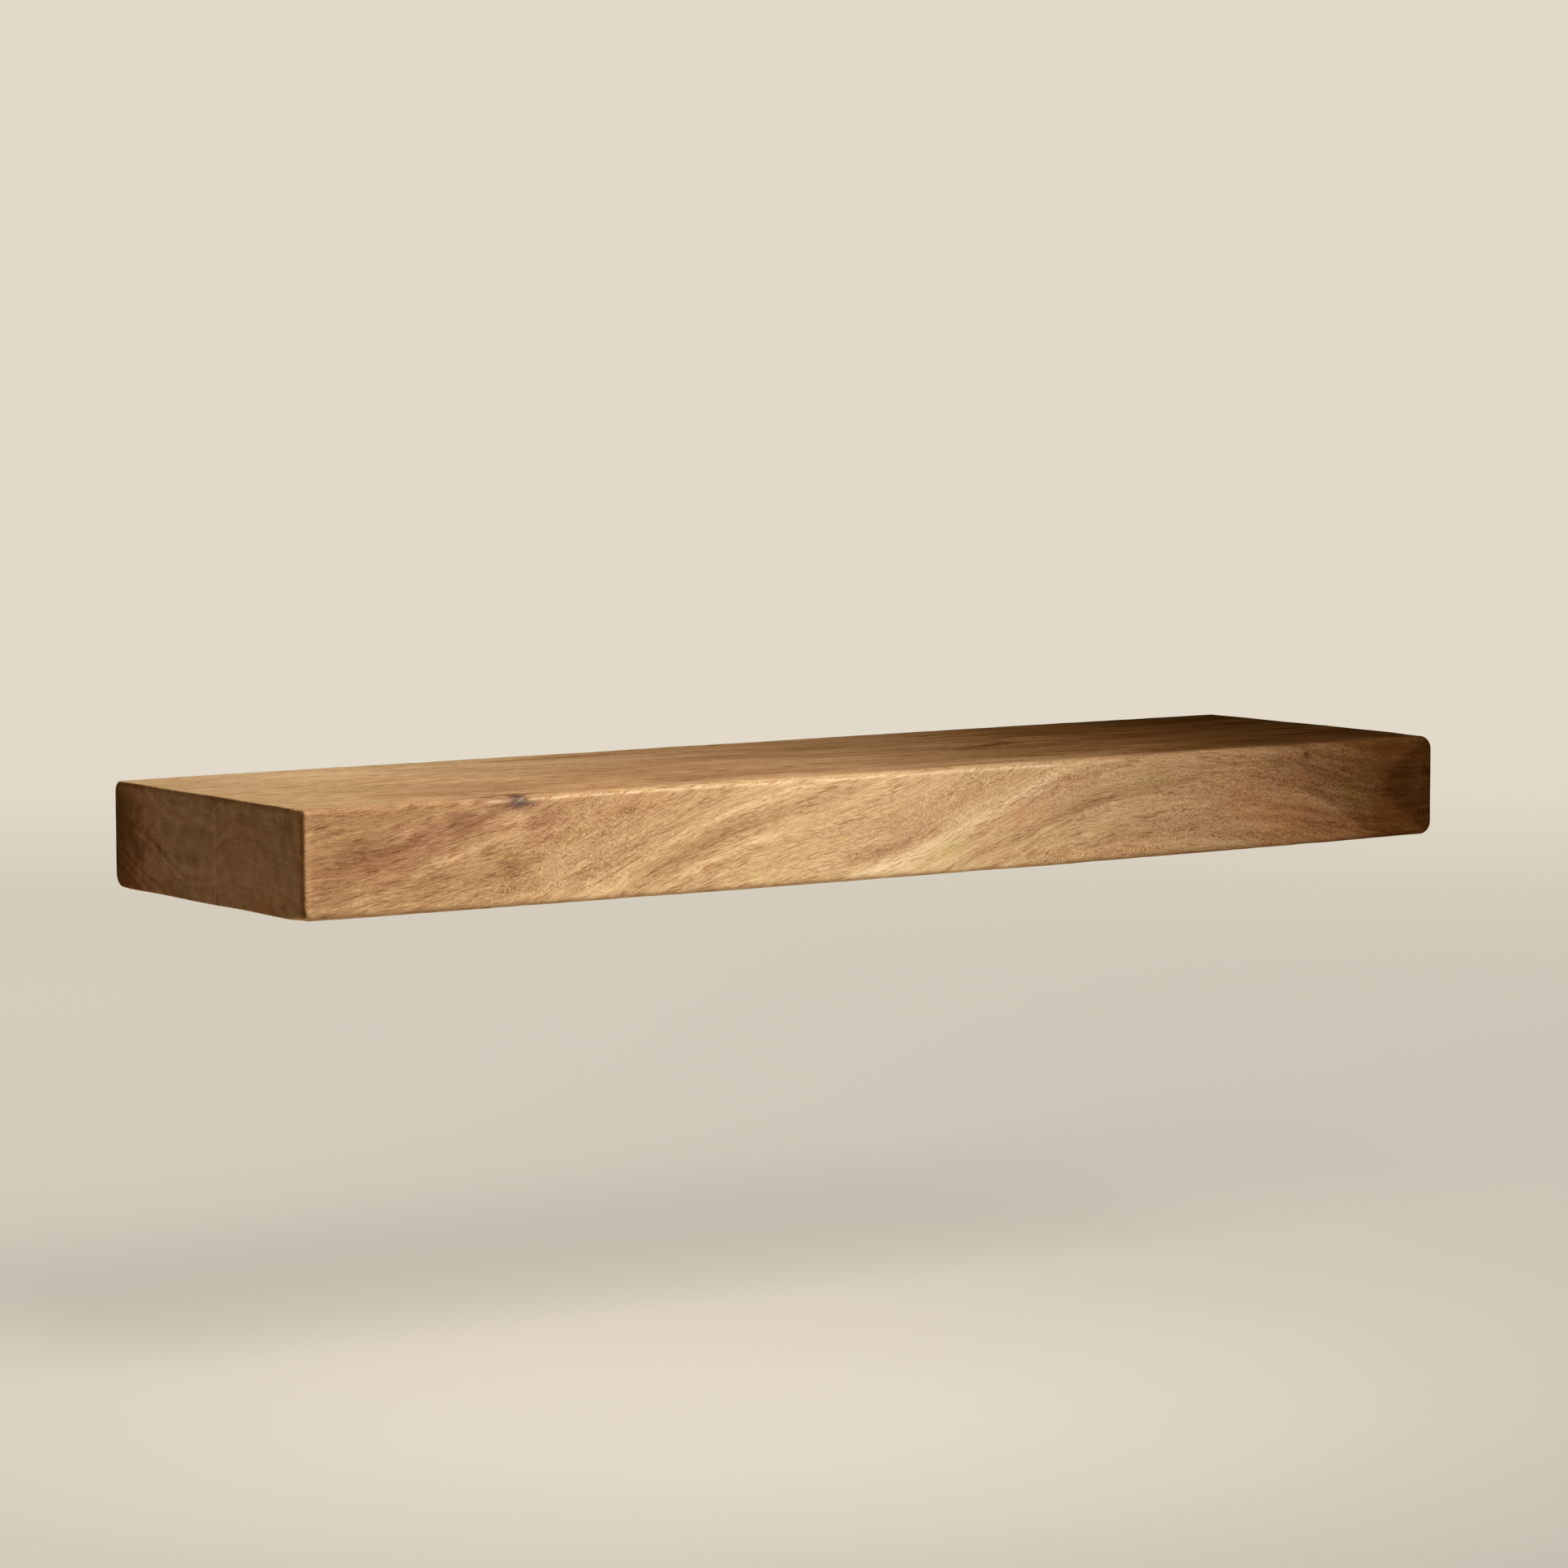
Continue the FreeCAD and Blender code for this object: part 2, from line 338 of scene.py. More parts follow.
# %% Smooth noise in numpy
def ripple(points, wavelength, seed, waves=20):
    """Smooth noise of about -1 to 1: the sum of plane waves in random directions, with lengths near one
    wavelength and random phases, divided by the root of half their number."""
    random = np.random.default_rng(seed)
    direction = random.normal(size=(waves, 3))
    direction /= np.linalg.norm(direction, axis=1, keepdims=True)
    direction *= (2 * np.pi / wavelength) * random.uniform(0.6, 1.5, size=(waves, 1))
    phase = random.uniform(0, 2 * np.pi, waves)
    return np.cos(points @ direction.T + phase).sum(-1) / (0.5 * waves) ** 0.5 / 1.4


def ease(value, low, high):
    """0 below low, 1 above high, and a smooth S between: 3t^2 - 2t^3. low may be above high."""
    t = np.clip((value - low) / (high - low), 0, 1)
    return t * t * (3 - 2 * t)


def bell(value, middle, width):
    """1 at the middle and falling off on both sides: exp(-((value - middle) / width)^2)."""
    return np.exp(-(((value - middle) / width) ** 2))


sample_line = np.linspace((0, 0, 0), (100, 0, 0), 400)
sample = ripple(sample_line, 10, 1)
print("a ripple over ten wavelengths runs from", round(sample.min(), 2), "to", round(sample.max(), 2))

# %% Rounded and worn edges
def pulled_in(from_end, radius):
    """How far a rounded edge has pulled in at a distance from the end: r - sqrt(r^2 - (r - d)^2)."""
    short = np.clip(radius - from_end, 0, radius)
    return radius - np.sqrt(radius**2 - short**2)


def towards_corner(plain, worn, from_corner, reach):
    """An edge's radius: plain beyond the reach of the corner, and the corner's worn radius near it."""
    return plain + (worn - plain) * ease(from_corner, reach, 0.3 * reach)


def underside(x):
    """The height of the underside: a parabola that is lowest at mid-length."""
    return end_bottom_z - belly * (1 - (x / half_length) ** 2)


def long_edge_radius(x, seed, nicks=9):
    """The radius of a long edge eased by hand. It wanders by a fifth and grows at a few small nicks."""
    along = np.stack([x, np.zeros_like(x), np.zeros_like(x)], -1)
    radius = arris * (1 + 0.12 * ripple(along, 0.11, seed) + 0.08 * ripple(along, 0.016, seed + 1))
    random = np.random.default_rng(seed + 2)
    place = random.uniform(-0.95, 0.95, nicks) * half_length
    width = random.uniform(1.5, 4.0, nicks) * MM
    growth = random.uniform(0.2, 0.9, nicks) * MM
    return radius + (growth * bell(x[:, None], place, width)).sum(1)


sampled = long_edge_radius(np.linspace(-half_length, half_length, 600), edge_seeds["front", "low"]) / MM
print("radius of the lower front edge:", round(sampled.min(), 2), "to", round(sampled.max(), 2), "mm")

# %% One long edge of a section
def outer_face(face):
    """The Y of a stave's outer face, and 1 or -1 for the way that it looks."""
    outer_y = front_y if face == "front" else back_y
    return outer_y, np.sign(outer_y - glue_y)


def upright_pull(x, face):
    """How far the upright edge of the nearer end pulls the outer face in at each x."""
    left, right = (MM * value for value in upright_edges[face])
    return pulled_in(half_length - np.abs(x), np.where(x > 0, right, left))


def long_edge(x, face, side, level_steps=46):
    """One long edge, for a column of x: its radius, the Y of points along the level face from the glue line
    to it, and how far the end's edge has pulled each of these points in."""
    outer_y, outward = outer_face(face)
    at_right = x > 0
    from_end = half_length - np.abs(x)
    long_left, long_right, end_left, end_right = (MM * value for value in corner_radii[face, side])
    plain = long_edge_radius(x[:, 0], edge_seeds[face, side])[:, None]
    radius = towards_corner(plain, np.where(at_right, long_right, long_left), from_end, long_wear_reach)
    reach = outer_y - outward * (upright_pull(x, face) + radius) - glue_y
    level_y = glue_y + reach * np.linspace(0, 1, level_steps)[None, :]
    worn = np.where(at_right, end_right, end_left)
    worn_reach = np.where(at_right, end_wear_reach["right"], end_wear_reach["left"])
    edge = towards_corner(end_edge, worn, np.abs(outer_y - level_y), worn_reach)
    return radius, level_y, pulled_in(from_end, edge)


middle_radius = long_edge(np.zeros((1, 1)), "front", "high")[0]
print("at mid-length the upper front edge is", round(float(middle_radius[0, 0]) / MM, 2), "mm in radius")

# %% Loop round a section
def section_loop(x, face, face_steps=34, arc_steps=9, glue_steps=8):
    """One closed loop in Y and Z for each x, as an array (x, place in loop, 3). It goes along the underside
    from the glue line, up the outer face and back along the top. The glue face closes it."""
    outer_y, outward = outer_face(face)
    x = x[:, None]
    low_radius, low_y, low_pull = long_edge(x, face, "low")
    high_radius, high_y, high_pull = long_edge(x, face, "high")
    low_z = underside(x) + low_pull
    high_z = top_z - high_pull
    face_low = low_z[:, -1:] + low_radius
    face_high = high_z[:, -1:] - high_radius
    face_z = face_low + (face_high - face_low) * np.linspace(0, 1, face_steps)[None, :]
    glue_z = low_z[:, :1] + (high_z[:, :1] - low_z[:, :1]) * np.linspace(1, 0, glue_steps)[None, 1:-1]
    turn = np.linspace(0, np.pi / 2, arc_steps)[None, 1:-1]
    ys = [
        low_y,
        low_y[:, -1:] + outward * low_radius * np.sin(turn),
        np.broadcast_to(outer_y - outward * upright_pull(x, face), face_z.shape),
        high_y[:, -1:] + outward * high_radius * np.cos(turn),
        high_y[:, ::-1],
        np.full_like(glue_z, glue_y),
    ]
    zs = [
        low_z,
        face_low - low_radius * np.cos(turn),
        face_z,
        face_high + high_radius * np.sin(turn),
        high_z[:, ::-1],
        glue_z,
    ]
    loop_y = np.concatenate(ys, axis=1)
    loop_z = np.concatenate(zs, axis=1)
    return np.stack([np.broadcast_to(x, loop_y.shape), loop_y, loop_z], -1)


print("points in one loop:", section_loop(np.zeros(1), "front").shape[1])

# %% Rings from end to end
def stations(pitch=1.6 * MM, arc_steps=18, reach=8 * MM):
    """Places along X: close together round the end edges and one pitch apart between them."""
    arc = reach * (1 - np.cos(np.linspace(0, np.pi / 2, arc_steps)))
    inner = half_length - reach
    middle = np.linspace(-inner, inner, round(2 * inner / pitch))[1:-1]
    return np.concatenate([-half_length + arc, middle, half_length - arc[::-1]])


def hand_planed(rings):
    """Pushes each point in along the loop's own normal, by a slow and a quick ripple that together stay
    within about a quarter of a millimetre. Nothing moves at the glue line."""
    ahead = np.roll(rings, -1, axis=1) - np.roll(rings, 1, axis=1)
    normal = np.stack([np.zeros_like(ahead[..., 0]), ahead[..., 2], -ahead[..., 1]], -1)
    normal /= np.linalg.norm(normal, axis=-1, keepdims=True)
    outward = np.sign(((rings - rings.mean(1, keepdims=True)) * normal).sum(-1).sum())
    hollow = 0.10 * (1 + ripple(rings, 0.07, 51)) + 0.03 * (1 + ripple(rings, 0.02, 52))      # in mm
    hollow *= ease(np.abs(rings[..., 1] - glue_y), 0.0, 4 * MM) * MM
    return rings - outward * normal * np.clip(hollow, 0, None)[..., None]


def stave_rings(face, cap_rows=44):
    """The planed loops of every station, then the end loops again, shrunk step by step to close the ends.
    The steps follow a sine, so they are small near the rim."""
    rings = hand_planed(section_loop(stations(), face))
    shrink = np.sin(np.pi / 2 * np.linspace(0.02, 1, cap_rows, endpoint=False))[:, None, None]
    first, last = rings[0], rings[-1]
    first_cap = first.mean(0) + (first - first.mean(0)) * shrink
    last_cap = last.mean(0) + (last - last.mean(0)) * shrink[::-1]
    return np.concatenate([first_cap, rings, last_cap])


print("stations along the board:", len(stations()))

# %% Mesh of a closed tube
def closed_tube(rings):
    """Points and faces of rings joined in order, with a pole at each end.
    Quads join each ring to the next, and a fan of triangles joins the first and last ring to its pole."""
    rows, columns, _ = rings.shape
    points = np.vstack([rings.reshape(-1, 3), rings[0].mean(0), rings[-1].mean(0)])
    index = np.arange(rows * columns).reshape(rows, columns)
    beside = np.roll(index, -1, axis=1)
    quads = np.stack([index[:-1], beside[:-1], beside[1:], index[1:]], -1).reshape(-1, 4)
    pole = np.full(columns, rows * columns)
    first_fan = np.stack([beside[0], index[0], pole], -1)
    last_fan = np.stack([index[-1], beside[-1], pole + 1], -1)
    return points, quads.tolist() + first_fan.tolist() + last_fan.tolist()


def mesh_object(name, points, faces):
    """A mesh object with its faces turned outwards: they are flipped if its signed volume is negative."""
    fans = [[(face[0], face[i], face[i + 1]) for i in range(1, len(face) - 1)] for face in faces]
    triangles = np.array([triangle for fan in fans for triangle in fan])
    a, b, c = (points[triangles[:, i]] for i in range(3))
    if np.einsum("ij,ij->", a, np.cross(b, c)) < 0:
        faces = [face[::-1] for face in faces]
    mesh = bpy.data.meshes.new(name)
    mesh.from_pydata(points.tolist(), [], faces)
    mesh.update()
    made = bpy.data.objects.new(name, mesh)
    bpy.context.scene.collection.objects.link(made)
    return made


prism_points, prism_faces = closed_tube(np.array([[(x, 0, 0), (x, 1, 0), (x, 0, 1)] for x in (0.0, 1.0)]))
print("a tube of two rings of three points has", len(prism_points), "points and", len(prism_faces), "faces")

# %% [markdown]
# ## Recess, bores and worm hole
#
# The back has a routed recess for the plate and three drilled bores for the rods, and a beetle has left
# one small hole in the front. They run across the loops of the staves. The holes could be modelled into
# the loops, but that would take a special grid for each. So a Boolean modifier cuts them, with cutters
# that are closed tubes too. Its result is made the mesh, and colours are worked out after that.

# %% Sizes of the recess and the bores
plate_low, plate_high = (np.array(corner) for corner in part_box("bracket_plate"))
rod_low, rod_high = (np.array(corner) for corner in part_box("support_rod_middle"))
recess_gap = 2.0 * MM
recess_floor_gap = 1.5 * MM
router_radius = 6.0 * MM
bore_gap = 0.25 * MM
bore_spare = 5.0 * MM
drill_angle = 118           # degrees, at the drill's point
drill_flat = 0.04           # the point ends in a flat this share of the bore across
rod_radius = float(rod_high[0] - rod_low[0]) / 2
recess_floor_y = float(plate_low[1]) - recess_floor_gap
bore_radius = rod_radius + bore_gap
bore_end_y = float(rod_low[1]) - bore_spare
bore_point = bore_radius / math.tan(math.radians(drill_angle / 2))
rods = ("support_rod_left", "support_rod_middle", "support_rod_right")
rod_places = [float(np.mean(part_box(rod), axis=0)[0]) for rod in rods]
print("recess floor at y =", round(recess_floor_y, 5), "m, bore radius", round(bore_radius / MM, 2), "mm")

# %% Cutters
def rounded_outline(half_width, half_height, radius, steps=8):
    """X and Z round a rectangle with quarter circles at its corners."""
    turn = np.linspace(0, np.pi / 2, steps)
    quarters = turn[None, :] + (np.pi / 2 * np.arange(4))[:, None]
    side_x = np.array([1, -1, -1, 1])[:, None] * (half_width - radius)
    side_z = np.array([1, 1, -1, -1])[:, None] * (half_height - radius)
    return (side_x + radius * np.cos(quarters)).ravel(), (side_z + radius * np.sin(quarters)).ravel()


def recess_cutter(past=2 * MM):
    """The rounded rectangle of the recess, carried from its floor to just past the back face."""
    half_width = float(plate_high[0]) + recess_gap
    half_height = float(plate_high[2]) + recess_gap
    x, z = rounded_outline(half_width, half_height, router_radius)
    rings = [np.stack([x, np.full_like(x, y), z], -1) for y in (recess_floor_y, past)]
    return mesh_object("recess_cutter", *closed_tube(np.array(rings)))


def bore_cutter(x, past=0.5 * MM, around=40):
    """A drilled hole: circles of one radius down to the drill's point."""
    turn = np.linspace(0, 2 * np.pi, around, endpoint=False)
    tip = (bore_end_y - (1 - drill_flat) * bore_point, drill_flat * bore_radius)
    rings = []
    for y, radius in ((recess_floor_y + past, bore_radius), (bore_end_y, bore_radius), tip):
        rings.append(np.stack([x + radius * np.cos(turn), np.full(around, y), radius * np.sin(turn)], -1))
    return mesh_object("bore_cutter", *closed_tube(np.array(rings)))


def worm_hole_cutter(x=224.5 * MM, z=18.3 * MM, width=2.5 * MM, depth=0.8 * MM, around=16):
    """The worm hole in the front: rough circles that narrow inwards."""
    turn = np.linspace(0, 2 * np.pi, around, endpoint=False)
    radius = width / 2 * (1 + 0.16 * np.cos(2 * turn + 0.7) + 0.10 * np.cos(3 * turn))
    rings = []
    for y, share in ((front_y - MM, 1.1), (front_y + 0.4 * depth, 0.9), (front_y + depth, 0.45)):
        across, up = share * radius * np.cos(turn), share * radius * np.sin(turn)
        rings.append(np.stack([x + across, np.full(around, y), z + up], -1))
    return mesh_object("worm_hole_cutter", *closed_tube(np.array(rings)))


def cut(stave, cutters):
    """Cuts each cutter out of the stave, keeps the result as the stave's mesh and removes the cutters."""
    for cutter in cutters:
        modifier = stave.modifiers.new("cut", "BOOLEAN")
        modifier.operation = "DIFFERENCE"
        modifier.solver = "EXACT"
        modifier.object = cutter
    bpy.context.view_layer.update()
    evaluated = stave.evaluated_get(bpy.context.evaluated_depsgraph_get())
    mesh = bpy.data.meshes.new_from_object(evaluated)
    stave.modifiers.clear()
    stave.data = mesh
    for cutter in cutters:
        bpy.data.objects.remove(cutter)


print("points round the recess cutter:", rounded_outline(1.0, 0.5, 0.1)[0].size)

# %% Make the staves
front_stave = mesh_object("front_stave_wood", *closed_tube(stave_rings("front")))
rear_stave = mesh_object("rear_stave_wood", *closed_tube(stave_rings("back")))
cut(front_stave, [bore_cutter(x) for x in rod_places] + [worm_hole_cutter()])
cut(rear_stave, [recess_cutter()] + [bore_cutter(x) for x in rod_places])
for stave in (front_stave, rear_stave):
    print(stave.name, len(stave.data.vertices), "points,", len(stave.data.polygons), "faces")

# %% [markdown]
# ## Reading and marking a mesh
#
# Wood is not one pattern. Its colour and the run of its fibres change from place to place, and a shader
# can't know where a knot sits. So the places are worked out here with numpy, from the points of each
# stave, and stored as attributes on the mesh. The shader reads them and adds the fine detail.

# %% Mesh helpers
def read_surface(mesh):
    """Points in mm and their normals, the point of each face corner, and each face's normal, centre in mm
    and number of corners."""
    def read(collection, field, width, kind=np.float32):
        values = np.empty(len(collection) * width, dtype=kind)
        collection.foreach_get(field, values)
        return values.reshape(-1, width) if width > 1 else values

    return {
        "points": read(mesh.vertices, "co", 3).astype(float) / MM,
        "normals": read(mesh.vertex_normals, "vector", 3),
        "corner_points": read(mesh.loops, "vertex_index", 1, np.int32),
        "face_normals": read(mesh.polygon_normals, "vector", 3),
        "face_centres": read(mesh.polygons, "center", 3) / MM,
        "face_sizes": read(mesh.polygons, "loop_total", 1, np.int32),
    }


def store(mesh, name, domain, values):
    """Stores one number, or a vector of three, for each point, face or corner."""
    values = np.ascontiguousarray(values, dtype=np.float32)
    kind, field = ("FLOAT", "value") if values.ndim == 1 else ("FLOAT_VECTOR", "vector")
    mesh.attributes.new(name, kind, domain).data.foreach_set(field, values.ravel())


def smooth_with_sharp_edges(mesh, degrees=32):
    """Smooth shading everywhere except across edges that turn by more than an angle."""
    mesh.shade_smooth()
    mesh.set_sharp_from_angle(angle=math.radians(degrees))


front_points = read_surface(front_stave.data)["points"]
print("the front stave in mm:", front_points.min(0).round(1), "to", front_points.max(0).round(1))

# %% [markdown]
# ## How the fibres run
#
# Mango wood has interlocked grain: the fibres lean one way, then the other. On the front of this board
# they rise gently at the left end, rise more steeply in two stretches of the middle and fall away at the
# right. A wave texture could only repeat one lean. A table of slopes says where the wood leans how, and
# adding the slopes up along X gives the height of one fibre. A point's distance above that fibre stays
# the same along its own fibre, so patterns can follow it.

# %% Fibres on the front
fibre_slopes = (
    # x in mm, like every size in the cells on the wood's figure, and how steeply the fibres rise there
    (-300, 0.16), (-240, 0.18), (-205, 0.22), (-180, 0.36), (-158, 0.44), (-132, 0.46), (-115, 0.40),
    (-100, 0.33), (-75, 0.24), (-40, 0.18), (-15, 0.22), (10, 0.38), (78, 0.40), (92, 0.22),
    (110, 0.10), (150, 0.02), (200, -0.12), (235, -0.26), (260, -0.20), (280, -0.05), (300, 0.05),
)
fibre_x = np.linspace(-304, 304, 1217)
fibre_step = fibre_x[1] - fibre_x[0]
fibre_height = np.cumsum(np.interp(fibre_x, *np.transpose(fibre_slopes))) * fibre_step


def fibre_rise(x):
    """The height of one fibre at x: the sum of the slopes from the left end to there."""
    return np.interp(x, fibre_x, fibre_height)


def above_fibre(x, z, fibre_at):
    """The distance of a point above the fibre through another point (x, z) of the front."""
    return z - fibre_rise(x) - fibre_at[1] + fibre_rise(fibre_at[0])


print("a fibre climbs", round(float(fibre_rise(300)), 1), "mm from the left end to the right")

# %% The fibres' run at every face corner
burst_place = (-181.0, -5.0)
burst_size = (10.5, 8.0)
burst_arc = 7.0             # mm of arc for each radian round the burst
front_mm = front_y / MM
front_figure = 15           # the front's figure of fibres reaches this far in from its face


def burst_coordinates(x, z, face_x, face_z):
    """Round the small burst the fibres run like spokes: distance from its centre, and the angle in mm of
    arc at its rim. Angles are taken near that of the face's centre, so no face straddles a full turn."""
    def polar(px, pz):
        across, up = (px - burst_place[0]) / burst_size[0], (pz - burst_place[1]) / burst_size[1]
        return np.hypot(across, up), np.arctan2(up, across)

    reach, angle = polar(x, z)
    face_reach, face_angle = polar(face_x, face_z)
    angle = face_angle + np.remainder(angle - face_angle + np.pi, 2 * np.pi) - np.pi
    return reach * burst_size[0], angle * burst_arc, face_reach < 1.0


def fibre_coordinates(surface):
    """For each face corner: along the fibres, and two coordinates across them. The faces that look forward
    take the figure of the front, and elsewhere the fibres run along X with a slow sway."""
    place = surface["points"][surface["corner_points"]]
    facing = np.repeat(surface["face_normals"], surface["face_sizes"], axis=0)
    centre = np.repeat(surface["face_centres"], surface["face_sizes"], axis=0)
    x, y, z = place.T
    slow = place * (1.0, 0.35, 0.35)
    sway = 2.2 * ripple(slow, 150, 61) + 0.6 * ripple(slow, 45, 62)
    solid = np.stack([x, y + sway, z + 0.6 * sway], -1)
    front_sway = 0.8 * ripple(slow, 50, 63) + 0.3 * ripple(slow, 16, 64)
    front = np.stack([x, y, z - fibre_rise(x) + front_sway], -1)
    reach, angle, in_burst = burst_coordinates(x, z, centre[:, 0], centre[:, 2])
    front = np.where(in_burst[:, None], np.stack([reach, y, angle], -1), front)
    forward = (facing[:, 1] < -np.abs(facing[:, 2])) & (np.abs(facing[:, 1]) > np.abs(facing[:, 0]))
    return np.where((forward & (y < front_mm + front_figure))[:, None], front, solid)


print("the fibres' burst is", 2 * burst_size[0], "x", 2 * burst_size[1], "mm")

# %% [markdown]
# ## Light and dark
#
# The tone is one number from 0, dark heartwood, to 1, pale gold. It could be painted on the mesh with a
# brush, but a table of numbers is easier to mend. On the front it is a sum: a slow change along the board,
# whose fall towards the right end is partly darker wood and partly painted shade, bands that rise with the
# fibres, and single patches. A band is given by a point on it, its height and where it starts and ends. A
# patch is a soft ellipse with ragged edges, given by where it lies and how long, high and strong it is. At
# the right end comes the curved edge of the dark heartwood.

# %% Bands and patches of the front
front_bands = {
    # a point on it (x, z), half its height, from where to where along x, change of tone
    "first light line": ((-120, 0), 1.1, -166, -50, 0.16),
    "dark band": ((-92, 1.5), 3.6, -132, -24, -0.13),
    "light under the dark band": ((-95, -8), 2.2, -136, -62, 0.15),
    "last light line above it": ((-70, 15), 1.0, -100, -35, 0.08),
    "foot of the dotted field": ((-10, -11), 1.6, -34, 10, -0.09),
    "main light band": ((38.5, 0), 1.7, -24, 92, 0.19),
    "light beside it": ((38.5, -2.5), 4.5, -30, 80, 0.08),
    "purple streak": ((86, -1), 1.7, 55, 112, -0.13),
    "blue-grey streak": ((86, 6), 2.0, 52, 118, -0.04),
    "lower light": ((95, -8), 2.4, 35, 125, 0.08),
    "level dark": ((118, 6.5), 2.2, 96, 150, -0.09),
    "level light": ((118, 1.5), 1.5, 96, 146, 0.10),
    "dark below it": ((132, -5), 1.0, 112, 152, -0.07),
}
front_patches = {
    # x, z, half length, half height, slope, change of tone
    "brown patch": (-267, 2.5, 15, 5.0, 0.15, -0.07),
    "small brown patch": (-242, 7.5, 6, 3.6, 0.3, -0.05),
    "light low left": (-266, -14, 18, 5.0, 0.1, 0.08),
    "light burst": (-181, -6, 12, 9.0, 0.0, 0.11),
    "purple streak": (-225, 12.5, 12, 3.4, 0.1, -0.15),
    "thin streak": (-277, 8.4, 8, 1.0, 0.1, -0.10),
    "thin dark line": (-213, -1, 9, 0.9, 0.05, -0.12),
    "light streak": (-232, -2, 14, 2.2, 0.2, 0.14),
    "small light streak": (-251, 11, 6, 1.8, 0.1, 0.10),
    "light by the strokes": (-200, 6.5, 9, 2.8, 0.25, 0.12),
    "light under the knot": (-196, 13, 9, 3.0, 0.1, 0.08),
    "brown strokes": (-187, 10, 7, 4.2, 0.7, -0.11),
    "more strokes": (-177, 4.5, 6, 2.0, 0.5, -0.12),
    "brown by the burst": (-200, -7, 10, 5.0, 0.15, -0.12),
    "light lower edge": (-230, -20, 70, 4.0, 0.0, 0.08),
    "light below the burst": (-158, -20, 18, 3.6, 0.1, 0.10),
    "dark lower left": (-288, -4, 12, 9.0, 0.1, -0.05),
    "pink corner": (-140, 17, 20, 5.0, 0.1, -0.04),
    "brown dashes": (-143, 13.5, 6, 1.4, 0.0, -0.14),
    "dotted field": (14, 6, 38, 9.0, 0.35, -0.06),
    "purple foot": (-12, -9.5, 15, 2.6, 0.2, -0.04),
    "light bottom": (-2, -19, 34, 4.0, 0.05, 0.09),
    "pale streak under the main band": (24, -14, 20, 3.6, 0.35, 0.07),
    "pale foot of the dark band": (-80, -18, 24, 4.0, 0.1, 0.05),
    "gold": (-30, 14, 26, 6.0, 0.1, 0.06),
    "low orange field": (150, -18, 50, 4.0, 0.0, 0.04),
    "light field": (150, 0, 16, 6.0, 0.0, 0.06),
    "dark blot": (158, 11, 8, 2.4, 0.0, -0.07),
    "below the arc": (212, -10, 26, 5.0, -0.35, 0.02),
    "grey haze": (236, 9, 20, 6.0, -0.2, -0.015),
    "olive field": (250, 1, 14, 8.0, 0.0, 0.03),
    "grey foot": (256, -12, 7, 3.0, -0.5, -0.05),
    "shade before the heart": (271, 2, 9, 30.0, 0.0, -0.05),
    "pale rim": (292, 5, 4, 12.0, 0.0, 0.05),
    "stain round the worm hole": (224.5, 17.6, 3.0, 1.9, 0.0, -0.16),
    # a painted highlight where the rounded left edge of the front catches the light
    "painted highlight on the left edge": (-298, 0, 2.2, 30.0, 0.0, 0.07),
}
arc_edge = (                # x and z along the curved edge between the orange and the grey wood
    (196, 8.0), (203, 5.9), (220, 2.7), (232, -2.9), (243, -8.5), (254, -15.4), (262, -20.0), (275, -26.0),
)
heart_edge = (              # z and x along the edge of the dark heartwood at the right end
    (-25, 300), (-21, 296), (-12, 283), (-3, 273), (4, 271), (9, 275), (14, 283), (20, 292), (25, 297),
)
# the fall of tone towards the right end is partly darker wood and partly painted shade, as the light falls
# off
front_tones_with_shade = (             # x and the slow change of tone along the front
    (-300, 0.46), (-240, 0.48), (-150, 0.58), (-60, 0.69), (20, 0.72),
    (80, 0.65), (150, 0.57), (215, 0.46), (250, 0.34), (300, 0.23),
)
print("the front has", len(front_bands), "bands and", len(front_patches), "patches")

# %% Tone of the front
def from_table(value, table):
    """Reads a table of pairs at a value, with straight lines between its rows."""
    return np.interp(value, *np.transpose(table))


def soft_band(x, z, raggedness, band):
    """A streak along the fibres: exp(-(distance / half its height)^2), faded in and out along x."""
    point, half_height, x_from, x_to, change = band
    distance = above_fibre(x, z, point) * (1 + 0.3 * raggedness)
    along = ease(x, x_from - 12, x_from + 16) * ease(x, x_to + 12, x_to - 16)
    return change * bell(distance, 0, half_height) * along


def soft_patch(x, z, raggedness, patch):
    """exp(-(a^2 + b^2)): a and b are the distances along and across the patch, over its half sizes."""
    centre_x, centre_z, half_long, half_high, slope, change = patch
    dx, dz = x - centre_x, z - centre_z
    along = (dx + slope * dz) / half_long / math.hypot(1, slope)
    across = (dz - slope * dx) / half_high / math.hypot(1, slope)
    distance = np.hypot(along, across) * (1 + 0.35 * raggedness)
    return change * bell(distance, 0, 1)


def front_tone(x, z):
    """The tone of the front: a slow change along X, whose fall to the right is partly painted shade,
    streaks along the fibres, bands and patches. Above the arc it is a little darker, on the arc a little
    lighter, and in the heart much darker."""
    fibres = z - fibre_rise(x)
    flow = np.stack([x / 9, fibres, np.zeros_like(x)], -1)
    ragged = ripple(np.stack([x / 6, fibres, np.zeros_like(x)], -1), 3.2, 71)
    tone = from_table(x, front_tones_with_shade) + 0.025 * ripple(flow, 7, 72) + 0.03 * ripple(flow, 2.8, 73)
    for band in front_bands.values():
        tone = tone + soft_band(x, z, ragged, band)
    for patch in front_patches.values():
        tone = tone + soft_patch(x, z, ragged, patch)
    over_arc = z - from_table(x, arc_edge)
    above_arc = ease(over_arc, -0.8, 0.8) * ease(x, 196, 210)
    arc_line = bell(over_arc, 0, 0.7) * ease(x, 205, 220) * ease(x, 262, 250)
    in_heart = ease(x - from_table(z, heart_edge) + 0.7 * ragged, -3.0, 3.0)
    return tone - 0.06 * above_arc * (1 - in_heart) + 0.075 * arc_line - 0.165 * in_heart


line_x = np.linspace(-300, 300, 7)
print("tone along the middle of the front:", front_tone(line_x, np.zeros(7)).round(2))

